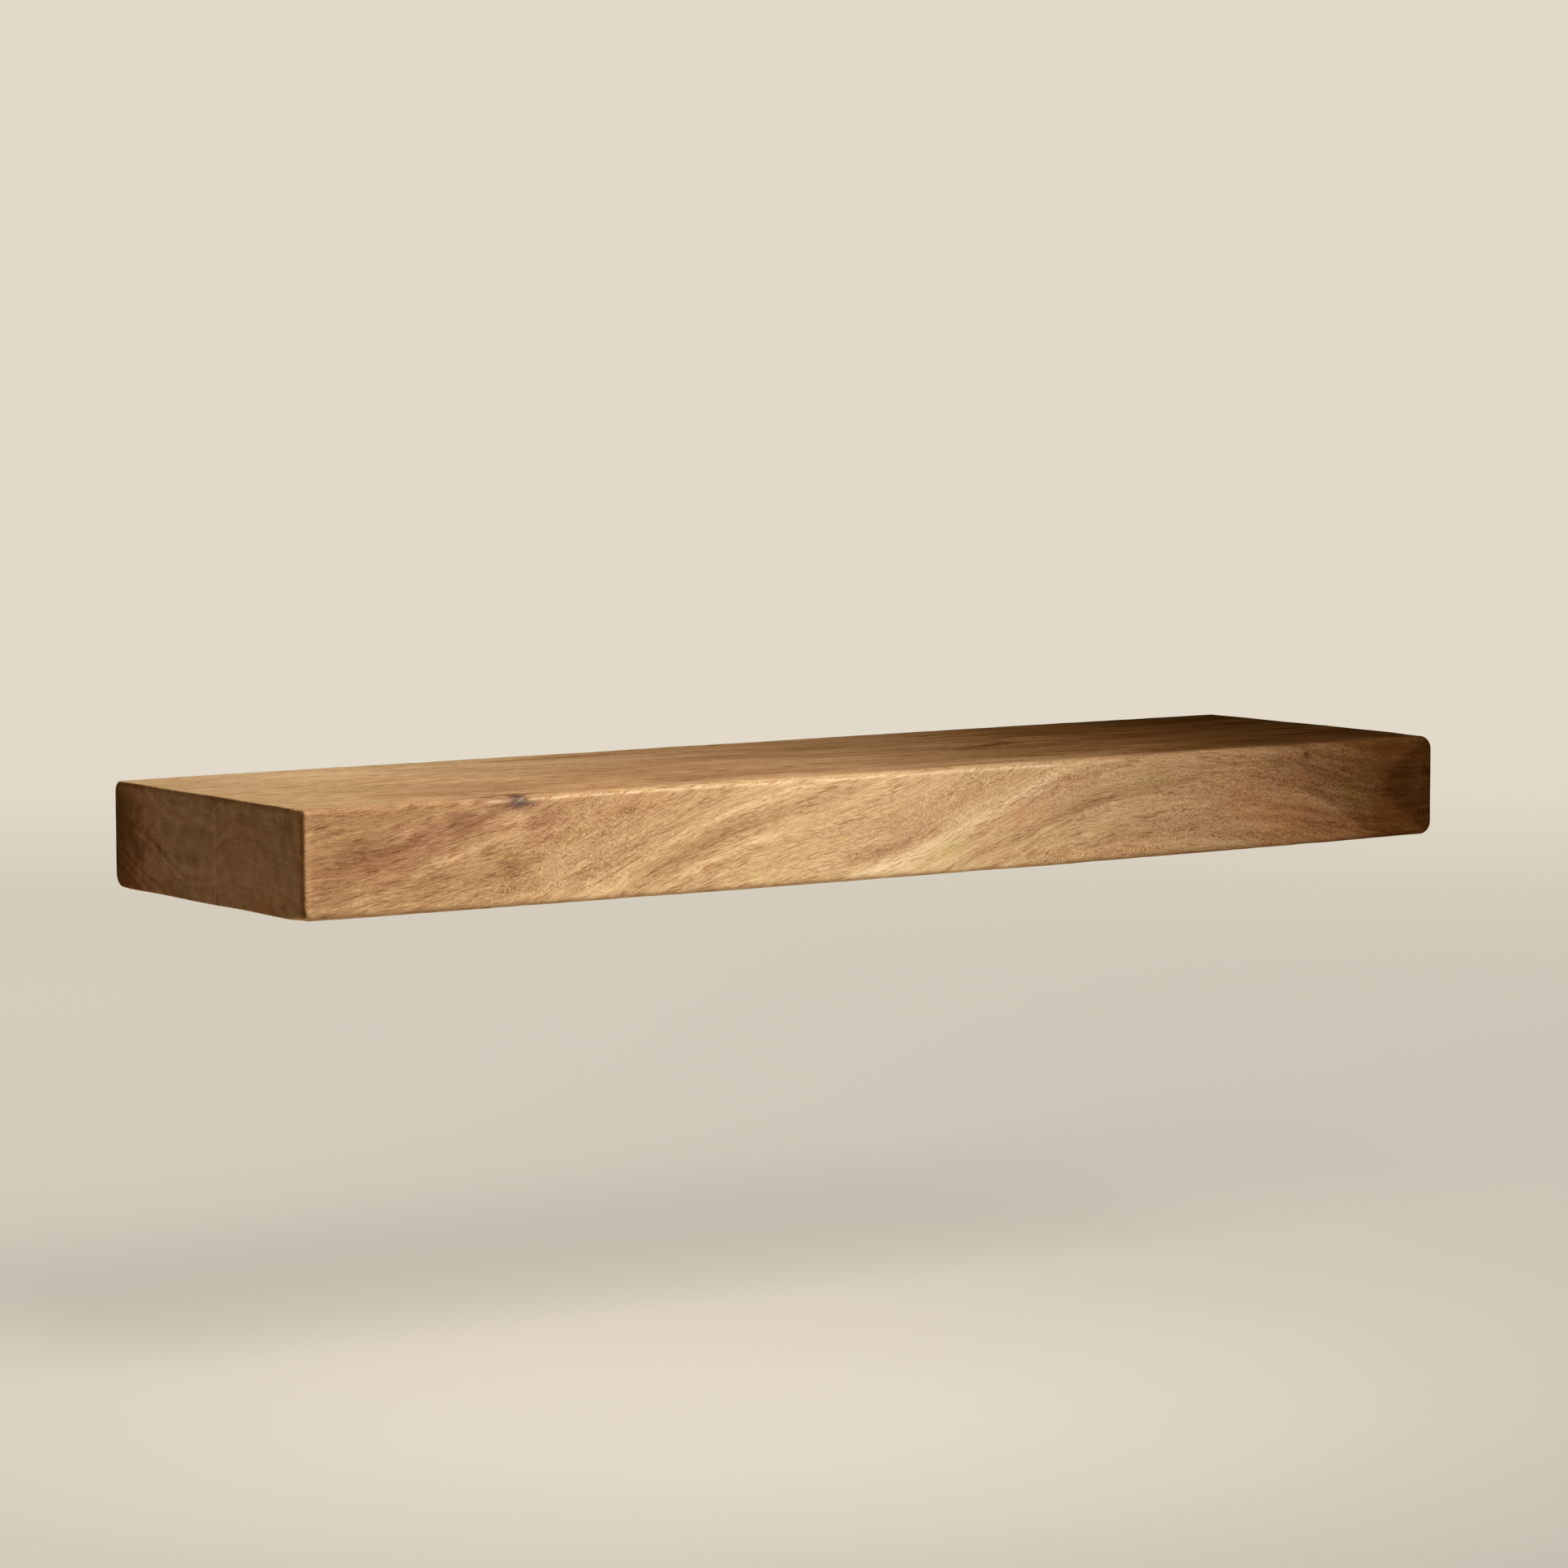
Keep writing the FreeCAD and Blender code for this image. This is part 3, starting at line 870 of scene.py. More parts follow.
# %% [markdown]
# ## Growth layers
#
# A tree grows one layer a year round its centre, the pith. Where the board shows end grain the layers are
# rings, and along the board they are streaks. Rings painted on the ends alone wouldn't meet the streaks.
# So a growth radius, the distance from the pith, is worked out for every point of a stave, and the tone
# of the top, back, underside and ends follows it.

# %% Marks on the top and the left end
top_patches = {
    # x, y, half length, half height, slope, change of tone
    "smudge at the seam": (106, -82, 13, 3.0, 0.2, -0.26),
    "stain behind the knot": (-197, -159, 9, 3.6, 0.0, -0.50),
    "faint smudge": (-209, -73, 9, 2.5, 0.0, -0.14),
    "streak at the back": (-92, -19, 34, 4.0, 0.0, -0.12),
    "light back": (-215, -25, 75, 18.0, 0.0, 0.08),
    "brown front": (-212, -126, 88, 34.0, 0.0, -0.16),
    "front streak": (-60, -140, 70, 5.0, 0.03, -0.07),
    "light front": (40, -150, 60, 4.0, 0.0, 0.07),
    # painted shade on the back half of the top towards the right end
    "painted shade at the back right": (240, -36, 120, 42.0, 0.0, -0.05),
}
end_patches = {
    # y, z, half length, half height, slope, change of tone
    "dark back": (4, 0, 22, 60.0, 0.0, -0.26),
    "dark spot": (-21, -5, 5, 4.0, 0.3, -0.10),
    "dark ring": (-36, 0, 16, 1.8, 0.5, -0.07),
    "dark ring again": (-62, -5.5, 16, 1.6, 0.05, -0.06),
    "dark foot": (-50, -20, 22, 2.2, 0.1, -0.06),
    "light shoulder": (-12, 21, 16, 3.0, 0.0, 0.07),
    "dark blot": (-152, 14, 5, 5.0, 0.0, -0.07),
    "glue line": (-90, 0, 0.8, 60.0, 0.0, 0.05),
    "gap in the glue line": (-91.5, -20, 0.9, 3.5, 0.0, -0.12),
}
end_hues = {
    # the same, with a change of hue: above 0 is redder and below 0 is greener
    "orange foot": (-27, -18, 13, 5.0, 0.1, 0.9),
    "green edge": (-4, 8, 7, 16.0, 0.0, -0.9),
    "brown back": (-20, 0, 18, 40.0, 0.0, 0.6),
    "green blot": (-22, -6, 6, 4.0, 0.3, -0.6),
    "purple haze": (-112, 6, 15, 8.0, 0.0, 0.45),
    "orange speck": (-92, -17, 8, 3.0, 0.0, 0.6),
    "low orange": (-134, -19, 12, 4.0, 0.0, 0.9),
}
print("marks: top", len(top_patches), "and end", len(end_patches) + len(end_hues))

# %% Growth layers
piths = {                   # y and z of the pith that each stave grew round
    "front_stave_wood": (-118.0, -190.0),
    "rear_stave_wood": (-66.0, 76.0),
}
# the fall of tone towards the right end is partly darker wood and partly painted shade, as the light falls
# off
solid_tones_with_shade = (             # x and the slow change of tone along the top
    (-300, 0.68), (-200, 0.66), (-100, 0.55), (0, 0.46), (120, 0.33), (210, 0.18), (300, 0.06),
)


def growth_radius(points, pith):
    """Distance from the tree's centre line, which leans a little along X, plus a slow wobble."""
    x, y, z = points.T
    lean_y = 0.035 * x
    lean_z = -0.02 * x
    wobble = 3.0 * ripple(points * (0.4, 1, 1), 60, 81) + 0.6 * ripple(points * (0.3, 1, 1), 18, 82)
    return np.hypot(y - pith[0] - lean_y, z - pith[1] - lean_z) + wobble


def solid_tone(points, radius):
    """The tone of the wood away from the front: growth layers, streaks along X and a slow change along X,
    whose fall towards the right end is partly darker wood and partly painted shade.
    """
    x = points[:, 0]
    layers = np.stack([radius, np.zeros_like(radius), np.zeros_like(radius)], -1)
    flow = points * (1 / 10, 1, 1)
    tone = from_table(x, solid_tones_with_shade) + 0.018 * ripple(layers, 9, 91) + 0.015 * ripple(layers, 3.6, 92)
    tone = tone + 0.03 * ripple(points * (0.35, 1, 1), 28, 96)
    return tone + 0.02 * ripple(flow, 9, 93) + 0.015 * ripple(flow, 3, 94)


left_corner = np.array([(-300.0, front_mm, 23.0)])
corner_growth = growth_radius(left_corner, piths["front_stave_wood"])
print("growth radius at the upper front left corner:", corner_growth.round(1), "mm")

# %% [markdown]
# ## Marks that are not tone
#
# Some places differ in hue: red glows, grey-green streaks and purple patches. On the front's upper edge
# sits a small blue-grey knot in a purple haze. In places the fibres curl into tiny worms, and the lower
# edge shows the fine ticks that a chattering plane leaves. The upper front edge is rubbed pale and carries
# a painted highlight where the rounded edge would catch the light, and the recess and bores are fresh
# cut, without oil. Each mark could be a texture of its own. One more number per point is simpler, and
# stays where it is put.

# %% Marks of hue and curl
red_patches = {
    # x, z, half length, half height, slope, change of hue: below 0 is greener
    "left streaks": (-275, -4, 26, 9, 0.1, 0.5),
    "pink corner": (-140, 15, 22, 7, 0.1, 0.3),
    "pink-brown band": (60, -2, 40, 8, 0.4, 0.3),
    "low edge": (110, -19, 40, 4, 0.0, 0.6),
    "orange field": (205, -8, 40, 10, -0.4, 0.8),
    "glow at the heart": (273, -8, 6, 9, -0.5, 1.0),
    "green streaks": (24, -13, 20, 5, 0.35, -0.7),
    "green patch": (110, -10, 14, 4, 0.0, -0.6),
    "green top": (136, 12, 14, 6, 0.1, -0.5),
    "green light": (-80, -17, 16, 3, 0.2, -0.4),
    "olive field": (254, 1, 17, 10, 0.0, -1.5),
    "warm right end": (268, 0, 50, 60, 0.0, 0.75),
    "grey haze": (228, 6, 9, 6, -0.4, 0.2),
}
purple_patches = {
    # x, z, half length, half height, slope, amount
    "brown patch": (-262, 2, 22, 7, 0.15, 0.9),
    "small brown patch": (-242, 8, 9, 5, 0.3, 0.6),
    "purple streak": (-222, 12, 18, 5, 0.1, 0.9),
    "brown strokes": (-187, 8, 10, 6, 0.6, 0.5),
    "pink-brown band": (58, 1, 40, 7, 0.4, 0.4),
    "purple foot": (-12, -10, 18, 4, 0.2, 0.7),
    "purple haze": (238, 10, 20, 7, -0.2, 0.9),
}
curl_patches = {
    # x, z, half length, half height, slope, amount
    "worms by the burst": (-203, -16, 14, 6, 0.0, 1.0),
    "burst": (-181, -5, 12, 9, 0.0, 0.9),
    "worms right of the knot": (-160, 14, 16, 9, 0.0, 0.9),
    "worms right of the burst": (-156, -5, 20, 14, 0.0, 0.8),
    "dotted field": (16, 6, 38, 9, 0.35, 1.0),
    "upper right": (86, 13, 34, 7, 0.2, 0.9),
    "right field": (190, -2, 60, 20, 0.0, 0.9),
    "right end": (268, 0, 36, 26, 0.0, 0.8),
    "low edge": (105, -20, 50, 4, 0.0, 0.8),
}


def sum_of_patches(x, z, raggedness, patches):
    """All the soft patches of one table added up."""
    return sum(soft_patch(x, z, raggedness, patch) for patch in patches.values())


print("patches: hue", len(red_patches), "purple", len(purple_patches), "curl", len(curl_patches))

# %% Tone and hue of a stave
top_mm = top_z / MM
front_skin = 5.0            # mm over which the front's figure fades into the wood
end_rim = 2.2               # mm along the front and top edges of the left end that are darker


def face_shares(points, normals):
    """How far each point takes the figure of the front, the top, the left end and the right end, from 0
    to 1. The front's share is exp(-depth / skin). The others ease in with height or with the normal."""
    x, y, z = points.T
    on_front = np.exp(-np.clip(y - front_mm, 0, None) / front_skin)
    on_top = ease(z, 15, 22)
    on_left_end = ease(-normals[:, 0], 0.3, 0.8) * (x < -290)
    on_right_end = ease(normals[:, 0], 0.3, 0.8) * (x > 290)
    return on_front, on_top, on_left_end, on_right_end


def stave_tone(points, radius, ragged, shares):
    """The front's tone and the solid wood's, each times its share. The ends soften the solid wood's tone
    towards their own mean and add their own patches."""
    x, y, z = points.T
    on_front, on_top, on_left_end, on_right_end = shares
    solid = solid_tone(points, radius)
    tone = solid + on_top * sum_of_patches(x, y, ragged, top_patches)
    tone = tone * (1 - on_front) + front_tone(x, z) * on_front
    left = 0.68 + 0.25 * (solid - 0.7) + sum_of_patches(y, z, 0.3 * ragged, end_patches)
    left = left - 0.28 * bell(y, front_mm, end_rim) - 0.12 * bell(z, top_mm, end_rim)
    left = left + 0.02 * ripple(points, 9, 97)
    right = 0.50 + 1.6 * (solid - 0.06) + 0.04 * ripple(points * (1, 0.6, 1), 12, 99)
    return tone * (1 - on_left_end - on_right_end) + left * on_left_end + right * on_right_end


def stave_hue(points, ragged, shares):
    """Above 0 is redder and below 0 greener: patches and a faint ripple on the front and the left end, and
    a slow ripple elsewhere."""
    x, y, z = points.T
    on_front, _, on_left_end, _ = shares
    front = sum_of_patches(x, z, 0.5 * ragged, red_patches) + 0.10 * ripple(points * (0.4, 1, 1), 13, 98)
    hue = on_front * front + (1 - on_front) * 0.35 * ripple(points * (0.15, 1, 1), 22, 95)
    return hue * (1 - on_left_end) + on_left_end * sum_of_patches(y, z, ragged, end_hues)


print("the front's figure fades over", front_skin, "mm of depth")

# %% Knot, edges and cut faces
knot_place = (-197.5, -164.0, 20.4)
knot_size = (4.0, 5.5, 2.2)
halo_shift = (5.0, 0.0, 1.0)
halo_size = (15.0, 10.0, 4.0)


def knot_and_halo(points, ragged):
    """The knot and the haze round it: bells of the distance from the knot over half sizes on X, Y and Z."""
    away = (points - knot_place) * (1 + 0.2 * ragged)[:, None]
    knot = bell(np.linalg.norm(away / knot_size, axis=1), 0, 1)
    halo = bell(np.linalg.norm((away + halo_shift) / halo_size, axis=1), 0, 1)
    return knot, halo


def edge_marks_and_highlight(points, normals):
    """The upper front edge, rubbed pale and with a painted highlight: a bell of the normal's Z that peaks
    where the rounded edge turns to catch the light. The plane's ticks: a bell of the height just above
    the lower front edge. Both fade in and out along X."""
    x, y, z = points.T
    # rubbed: the pale rubbed edge together with a painted highlight along it
    rubbed = bell(normals[:, 2], 0.38, 0.17) * ease(-normals[:, 1], 0.5, 0.8)
    ticks = bell(z, -20.3, 1.7) * ease(x, 50, 75) * ease(x, 155, 135) * ease(y, -160, -164)
    return rubbed * ease(x, -240, -190) * ease(x, 135, 70), ticks


def cut_faces(face_normals, face_centres):
    """From 0 to 1 on faces across the fibres, which show end grain, and 1 in the recess and the bores."""
    x, y, z = face_centres.T
    end_grain = ease(np.abs(face_normals[:, 0]), 0.5, 0.9)
    routed = (np.abs(x) < 258) & (np.abs(z) < 17.6) & (y < -0.4) & (y > -140)
    return end_grain, routed.astype(float)


print("knot at", knot_place, "mm")

# %% Store everything on the staves
def mark_stave(stave):
    """Works out and stores the figure of one stave."""
    mesh = stave.data
    surface = read_surface(mesh)
    points, normals = surface["points"], surface["normals"]
    x, z = points[:, 0], points[:, 2]
    radius = growth_radius(points, piths[stave.name])
    ragged = ripple(points * (0.4, 1, 1), 5, 75)
    shares = face_shares(points, normals)
    on_front = shares[0]
    tone = stave_tone(points, radius, ragged, shares)
    knot, halo = knot_and_halo(points, ragged)
    rubbed, ticks = edge_marks_and_highlight(points, normals)
    end_grain, routed = cut_faces(surface["face_normals"], surface["face_centres"])
    store(mesh, "fibre", "CORNER", fibre_coordinates(surface))
    store(mesh, "tone", "POINT", np.clip(tone, 0, 1))
    store(mesh, "hue", "POINT", np.clip(stave_hue(points, ragged, shares), -1, 0.8))
    store(mesh, "purple", "POINT", np.clip(on_front * sum_of_patches(x, z, ragged, purple_patches), 0, 1))
    store(mesh, "curl", "POINT", np.clip(on_front * sum_of_patches(x, z, ragged, curl_patches), 0, 1))
    store(mesh, "knot", "POINT", knot)
    store(mesh, "halo", "POINT", halo)
    store(mesh, "growth", "POINT", radius)
    store(mesh, "end_grain", "FACE", end_grain)
    # arris: the pale rubbed upper front edge together with a painted highlight along it
    store(mesh, "arris", "POINT", rubbed)
    store(mesh, "chatter", "POINT", ticks)
    store(mesh, "routed", "FACE", routed)
    smooth_with_sharp_edges(mesh)
    print(stave.name, "tone from", round(float(tone.min()), 2), "to", round(float(tone.max()), 2))


for stave in (front_stave, rear_stave):
    mark_stave(stave)

# %% [markdown]
# ## Oiled wood
#
# Seen close, mango wood shows open pores: dark dashes a few millimetres long and a third of one wide,
# lying along the fibres. Stretched noise makes them: its long side follows the fibre coordinate. Softer
# streaks, ribs and thin lines lie between them, and where the wood curls a warp turns them into worms. A
# picture of wood would show all this too, but it would repeat, and wouldn't meet at the edges. The oil is
# a matt one that leaves no shine, and the pores, the end grain and the fresh cuts are rougher still.

# %% Noise along the fibres
def stored(tree, name, output="Fac"):
    """One of the numbers or vectors stored on the mesh, as a socket."""
    return add_node(tree, "ShaderNodeAttribute", attribute_name=name).outputs[output]


def curled_fibres(tree):
    """The fibre coordinates, shaken by small noise where the wood curls."""
    fibre = stored(tree, "fibre", "Vector")
    shake = noise(tree, stretch(tree, fibre, (0.42, 0.55, 0.55)), detail=1.0).outputs["Color"]
    centred = add_node(tree, "ShaderNodeVectorMath", {0: shake, 1: (0.5, 0.5, 0.5)}, operation="SUBTRACT")
    size = calculate(tree, "MULTIPLY_ADD", stored(tree, "curl"), 3.2, 0.15)
    inputs = {0: centred.outputs[0], "Scale": size}
    warp = add_node(tree, "ShaderNodeVectorMath", inputs, operation="SCALE").outputs[0]
    return add_node(tree, "ShaderNodeVectorMath", {0: fibre, 1: warp}, operation="ADD").outputs[0]


def grain(tree, fibres, length, width, **options):
    """Noise drawn out along the fibres: its hills are about a length long and a width wide, in mm."""
    return noise(tree, stretch(tree, fibres, (1 / length, 1 / width, 1 / width)), **options).outputs[0]


def pore_mask(tree, fibres):
    """1 in a pore and 0 between: long and short dashes, each the peaks of a stretched noise. A slow noise
    makes them strong in some places and faint in others."""
    long_dashes = fade(tree, grain(tree, fibres, 9, 0.62, detail=0.5), 0.57, 0.68)
    short_dashes = fade(tree, grain(tree, fibres, 3, 0.45, detail=0.5), 0.57, 0.72, to_high=0.6)
    share = fade(tree, grain(tree, fibres, 30, 6, detail=1.0), 0.36, 0.60, 0.35, 1.0)
    return calculate(tree, "MULTIPLY", calculate(tree, "MAXIMUM", long_dashes, short_dashes), share)


def fibre_lines(tree, fibres, length, width, thickness):
    """1 on thin lines along the fibres: the places where a stretched noise is near its middle value."""
    hills = grain(tree, fibres, length, width, detail=1.0)
    height = calculate(tree, "ABSOLUTE", calculate(tree, "SUBTRACT", hills, 0.5))
    return fade(tree, height, thickness, 0.0)


wood, wood_tree, wood_shader = new_material("oiled_mango_wood")
fibres = curled_fibres(wood_tree)
pores = pore_mask(wood_tree, fibres)
ribs = grain(wood_tree, fibres, 9, 0.9, detail=3.0, roughness=0.65)
print("nodes for fibres, pores and ribs:", len(wood_tree.nodes))

# %% Tone of the wood
def add_variation(tree, tone, pattern, size):
    """The tone plus a noise, centred on zero, times a size."""
    return calculate(tree, "MULTIPLY_ADD", calculate(tree, "SUBTRACT", pattern, 0.5), size, tone)


def add_grain(tree, tone, contrast, end_grain):
    """Streaks, ribs, worms and hairs along the fibres. The first three are a fifth as strong on end grain.
    Where the fibres curl there is less of the ribs and more of the worms."""
    along = calculate(tree, "MULTIPLY_ADD", calculate(tree, "SUBTRACT", 1.0, end_grain), 0.8, 0.2)
    along_contrast = calculate(tree, "MULTIPLY", contrast, along)
    curl = stored(tree, "curl")
    rib_size = calculate(tree, "MULTIPLY_ADD", curl, -0.22, 0.36)
    worm_size = calculate(tree, "MULTIPLY", curl, 0.55)
    streaks = grain(tree, fibres, 20, 1.6, detail=3.0, roughness=0.6)
    worms = grain(tree, fibres, 0.9, 0.6, detail=0.0, distortion=0.5)
    hairs = grain(tree, fibres, 0.9, 0.45, detail=1.0)
    tone = add_variation(tree, tone, streaks, calculate(tree, "MULTIPLY", along_contrast, 0.20))
    tone = add_variation(tree, tone, ribs, calculate(tree, "MULTIPLY", along_contrast, rib_size))
    tone = add_variation(tree, tone, worms, calculate(tree, "MULTIPLY", along_contrast, worm_size))
    tone = add_variation(tree, tone, hairs, calculate(tree, "MULTIPLY", contrast, 0.20))
    dark_lines = calculate(tree, "MULTIPLY", fibre_lines(tree, fibres, 8.0, 1.1, 0.05), along_contrast)
    light_lines = calculate(tree, "MULTIPLY", fibre_lines(tree, fibres, 11.0, 1.5, 0.04), along_contrast)
    tone = calculate(tree, "MULTIPLY_ADD", dark_lines, -0.09, tone)
    tone = calculate(tree, "MULTIPLY_ADD", light_lines, 0.08, tone)
    return add_ticks(tree, tone, streaks)


def add_ticks(tree, tone, streaks):
    """The plane's ticks: a sine along the fibres, a little uneven, where the mesh says so."""
    along = add_node(tree, "ShaderNodeSeparateXYZ", {0: fibres}).outputs["X"]
    uneven = calculate(tree, "MULTIPLY_ADD", streaks, 14.0, calculate(tree, "MULTIPLY", along, 4.4))
    ticks = calculate(tree, "MULTIPLY", calculate(tree, "SINE", uneven), stored(tree, "chatter"))
    return calculate(tree, "MULTIPLY_ADD", ticks, 0.13, tone)


def wood_tone(tree, end_grain):
    """The stored tone, the growth layers, which are strongest on end grain, and the grain, with more
    contrast in light wood. End grain drinks more oil and is darker."""
    slow_tone = stored(tree, "tone")
    layer_place = add_node(tree, "ShaderNodeCombineXYZ", {"X": stored(tree, "growth")}).outputs[0]
    layers = noise(tree, stretch(tree, layer_place, (0.25, 1, 1))).outputs[0]
    layer_size = calculate(tree, "MULTIPLY_ADD", end_grain, 0.20, 0.03)
    contrast = calculate(tree, "MULTIPLY_ADD", slow_tone, 1.2, 0.20)
    tone = add_variation(tree, slow_tone, layers, layer_size)
    tone = add_grain(tree, tone, contrast, end_grain)
    return calculate(tree, "MULTIPLY_ADD", end_grain, -0.30, tone)


end_grain = stored(wood_tree, "end_grain")
tone = wood_tone(wood_tree, end_grain)
print("with the tone there are", len(wood_tree.nodes), "nodes")

# %% Colour of the wood
wood_ramp = (
    (0.00, linear(55, 30, 4)),
    (0.25, linear(113, 76, 40)),
    (0.50, linear(175, 135, 94)),
    (0.75, linear(216, 180, 132)),
    (1.00, linear(241, 213, 166)),
)
redder = (1.04, 0.87, 0.80, 1.0)        # these five multiply the wood's colour
greener = (0.89, 0.96, 0.78, 1.0)
purpler = (0.95, 0.86, 0.98, 1.0)
in_a_pore = (0.60, 0.44, 0.34, 1.0)
in_the_halo = (0.60, 0.51, 0.56, 1.0)
knot_colour = linear(62, 58, 62)        # these three take its place
fresh_cut = linear(214, 184, 140)
# a pale rubbed edge with a painted highlight on it, standing in for the light caught by the rounded edge
rubbed_edge_highlight = linear(242, 218, 176)


def ramp_colour(tree, tone):
    """Dark heartwood at tone 0 to pale gold at tone 1, with the colours of the ramp between."""
    ramp = add_node(tree, "ShaderNodeValToRGB", {0: tone})
    while len(ramp.color_ramp.elements) < len(wood_ramp):
        ramp.color_ramp.elements.new(0.5)
    for element, (place, colour) in zip(ramp.color_ramp.elements, wood_ramp):
        element.position = place
        element.color = colour
    return ramp.outputs[0]


def wood_colour(tree, tone, routed):
    """The ramp's colour, tinted by each mark in turn, each by the mark's strength."""
    def mark(name, strength):
        return calculate(tree, "MULTIPLY", stored(tree, name), strength)

    hue = stored(tree, "hue")
    patchy = noise(tree, stretch(tree, fibres, (0.12, 0.5, 0.5)), detail=3.0).outputs[0]
    # the rubbed edge and its painted highlight, broken up by a slow noise
    rubbed = calculate(tree, "MULTIPLY", stored(tree, "arris"), fade(tree, patchy, 0.32, 0.62))
    tints = (
        ("MULTIPLY", fade(tree, hue, 0.0, 1.0), redder),
        ("MULTIPLY", fade(tree, hue, 0.0, -1.0), greener),
        ("MULTIPLY", stored(tree, "purple"), purpler),
        ("MULTIPLY", calculate(tree, "MULTIPLY", pores, 0.75), in_a_pore),
        ("MULTIPLY", mark("halo", 0.8), in_the_halo),
        ("MIX", mark("knot", 0.85), knot_colour),
        ("MIX", calculate(tree, "MULTIPLY", routed, 0.45), fresh_cut),
        # the pale rubbed edge and the painted highlight on it
        ("MIX", calculate(tree, "MULTIPLY", rubbed, 0.62), rubbed_edge_highlight),
    )
    colour = ramp_colour(tree, tone)
    for kind, share, tint in tints:
        colour = blend_colour(tree, kind, share, colour, tint)
    return colour


routed = stored(wood_tree, "routed")
wood_tree.links.new(wood_colour(wood_tree, tone, routed), wood_shader.inputs["Base Color"])
print("with the colour there are", len(wood_tree.nodes), "nodes")

# %% Surface of the wood
matt = 0.72                 # the oiled wood's roughness, and what the marks add to it
pore_roughness = 0.10
end_roughness = 0.12
cut_roughness = 0.20
rib_height = 1.4            # against a pore's depth of 1
relief_depth = 0.0003


def wood_roughness(tree):
    """The oiled wood's roughness plus a little for pores, end grain and fresh cuts."""
    roughness = calculate(tree, "MULTIPLY_ADD", pores, pore_roughness, matt)
    roughness = calculate(tree, "MULTIPLY_ADD", end_grain, end_roughness, roughness)
    return calculate(tree, "MULTIPLY_ADD", routed, cut_roughness, roughness)


def add_relief(tree, shader, height, strength, depth):
    """Bump from a height: strength is its share, and depth in metres is what a height of 1 stands for."""
    bump = add_node(tree, "ShaderNodeBump", {"Height": height, "Strength": strength, "Distance": depth})
    tree.links.new(bump.outputs[0], shader.inputs["Normal"])


wood_tree.links.new(wood_roughness(wood_tree), wood_shader.inputs["Roughness"])
wood_shader.inputs["Specular IOR Level"].default_value = 0.0
raised_ribs = calculate(wood_tree, "MULTIPLY", ribs, rib_height)
relief = calculate(wood_tree, "MULTIPLY_ADD", pores, -1.0, raised_ribs)
add_relief(wood_tree, wood_shader, relief, 0.6, relief_depth)
print("the wood's material has", len(wood_tree.nodes), "nodes")

# %% Put the wood on the staves
for stave in (front_stave, rear_stave):
    stave.data.materials.clear()
    stave.data.materials.append(wood)
    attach(stave, "board")
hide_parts("front_stave")
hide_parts("rear_stave")
print("wood on", front_stave.name, "and", rear_stave.name)

# %% [markdown]
# ## Steel, zinc and nylon
#
# The bracket is powder coated: a matt black skin with a fine orange-peel texture and a few rubbed specks.
# The screws are zinc plated, bright and a little cloudy. The wall plugs are grey moulded nylon. One flat
# colour each would look like plastic film. All three are cloudy in colour and roughness and have a fine
# relief, so one helper makes them. The patterns are on object coordinates and need no unwrapping.

# %% Cloudy finish
def object_noise(tree, scale, **options):
    """Noise on the piece's own Object coordinates, scaled alike or by a factor on each axis."""
    place = add_node(tree, "ShaderNodeTexCoord").outputs["Object"]
    factors = scale if isinstance(scale, tuple) else (scale, scale, scale)
    return noise(tree, stretch(tree, place, factors), **options).outputs[0]


def cloudy_finish(name, cloud, dark, light, smooth, rough):
    """Colour and roughness follow one slow noise: from dark and smooth to light and rough. cloud is its
    scale, detail and roughness."""
    material, tree, shader = new_material(name)
    scale, detail, roughness = cloud
    clouds = object_noise(tree, scale, detail=detail, roughness=roughness)
    colour = blend_colour(tree, "MIX", clouds, dark, light)
    tree.links.new(colour, shader.inputs["Base Color"])
    tree.links.new(fade(tree, clouds, 0.3, 0.7, smooth, rough), shader.inputs["Roughness"])
    return material, tree, shader, colour


print("helpers for finishes: object_noise, cloudy_finish")

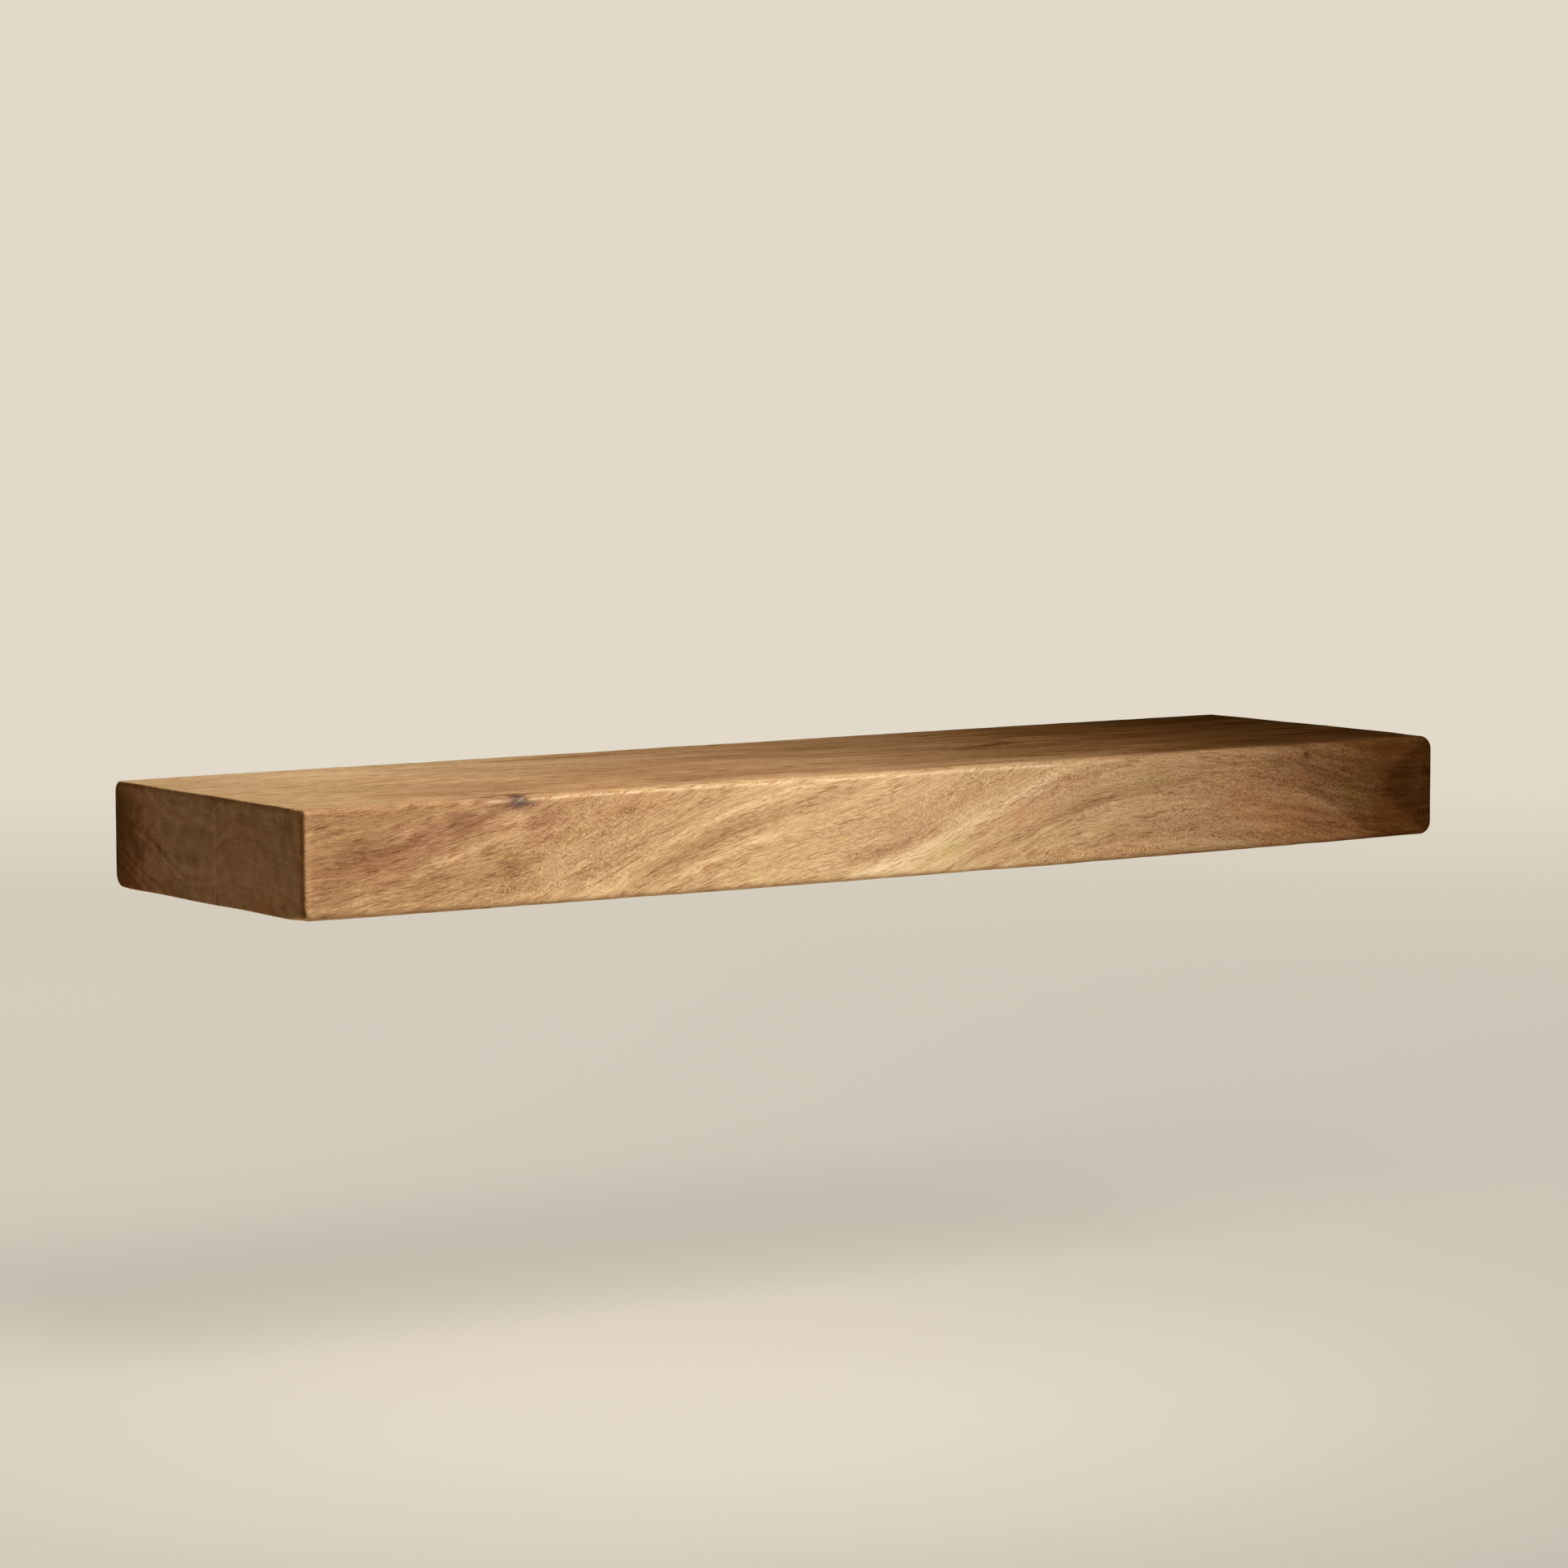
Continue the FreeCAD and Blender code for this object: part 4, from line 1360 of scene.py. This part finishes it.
# %% Powder coat
def powder_coat():
    """Matt black paint: noise as orange peel, and a few paler rubbed specks."""
    dark, light = linear(52, 53, 56), linear(66, 67, 70)
    cloud = (45, 3.0, 0.5)
    material, tree, shader, colour = cloudy_finish("black_powder_coat", cloud, dark, light, 0.46, 0.58)
    specks = fade(tree, object_noise(tree, 420, detail=3.0), 0.66, 0.74)
    rubbed = calculate(tree, "MULTIPLY", specks, 0.35)
    colour = blend_colour(tree, "MIX", rubbed, colour, linear(110, 110, 112))
    tree.links.new(colour, shader.inputs["Base Color"])
    add_relief(tree, shader, object_noise(tree, 1100), 0.25, 0.0002)
    return material


black_powder = powder_coat()
print("made", black_powder.name)

# %% Zinc plating
def zinc_plate():
    """Bright plated steel with cloudy brightness and a few scratches along X and Z."""
    dark, light = linear(176, 178, 180), linear(214, 215, 212)
    material, tree, shader, _ = cloudy_finish("zinc_plated_steel", (260, 4.0, 0.6), dark, light, 0.24, 0.40)
    shader.inputs["Metallic"].default_value = 1.0
    add_relief(tree, shader, object_noise(tree, (300, 2600, 300)), 0.12, 0.0001)
    return material


bright_zinc = zinc_plate()
print("made", bright_zinc.name)

# %% Moulded nylon
def moulded_nylon():
    """Grey plastic with the fine texture of a spark-eroded mould."""
    dark, light = linear(150, 152, 155), linear(172, 173, 175)
    material, tree, shader, _ = cloudy_finish("grey_nylon", (150, 2.0, 0.5), dark, light, 0.42, 0.52)
    add_relief(tree, shader, object_noise(tree, 2200), 0.2, 0.0001)
    return material


grey_nylon = moulded_nylon()
print("made", grey_nylon.name)

# %% Finish the hardware
finishes = {
    "bracket_plate": black_powder,
    "support_rod": black_powder,
    "rod_screw": bright_zinc,
    "wall_screw": bright_zinc,
    "wall_plug": grey_nylon,
}
for name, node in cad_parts.items():
    for start, finish in finishes.items():
        if name.startswith(start):
            node.data.materials.clear()
            node.data.materials.append(finish)
            print(name, "gets", finish.name)

# %% [markdown]
# ## Colour
#
# The picture is shown plainly, with no film look, so that a colour looks as it was written.

# %% Finish
bpy.context.scene.view_settings.view_transform = "Standard"
print("colours are shown as", bpy.context.scene.view_settings.view_transform)
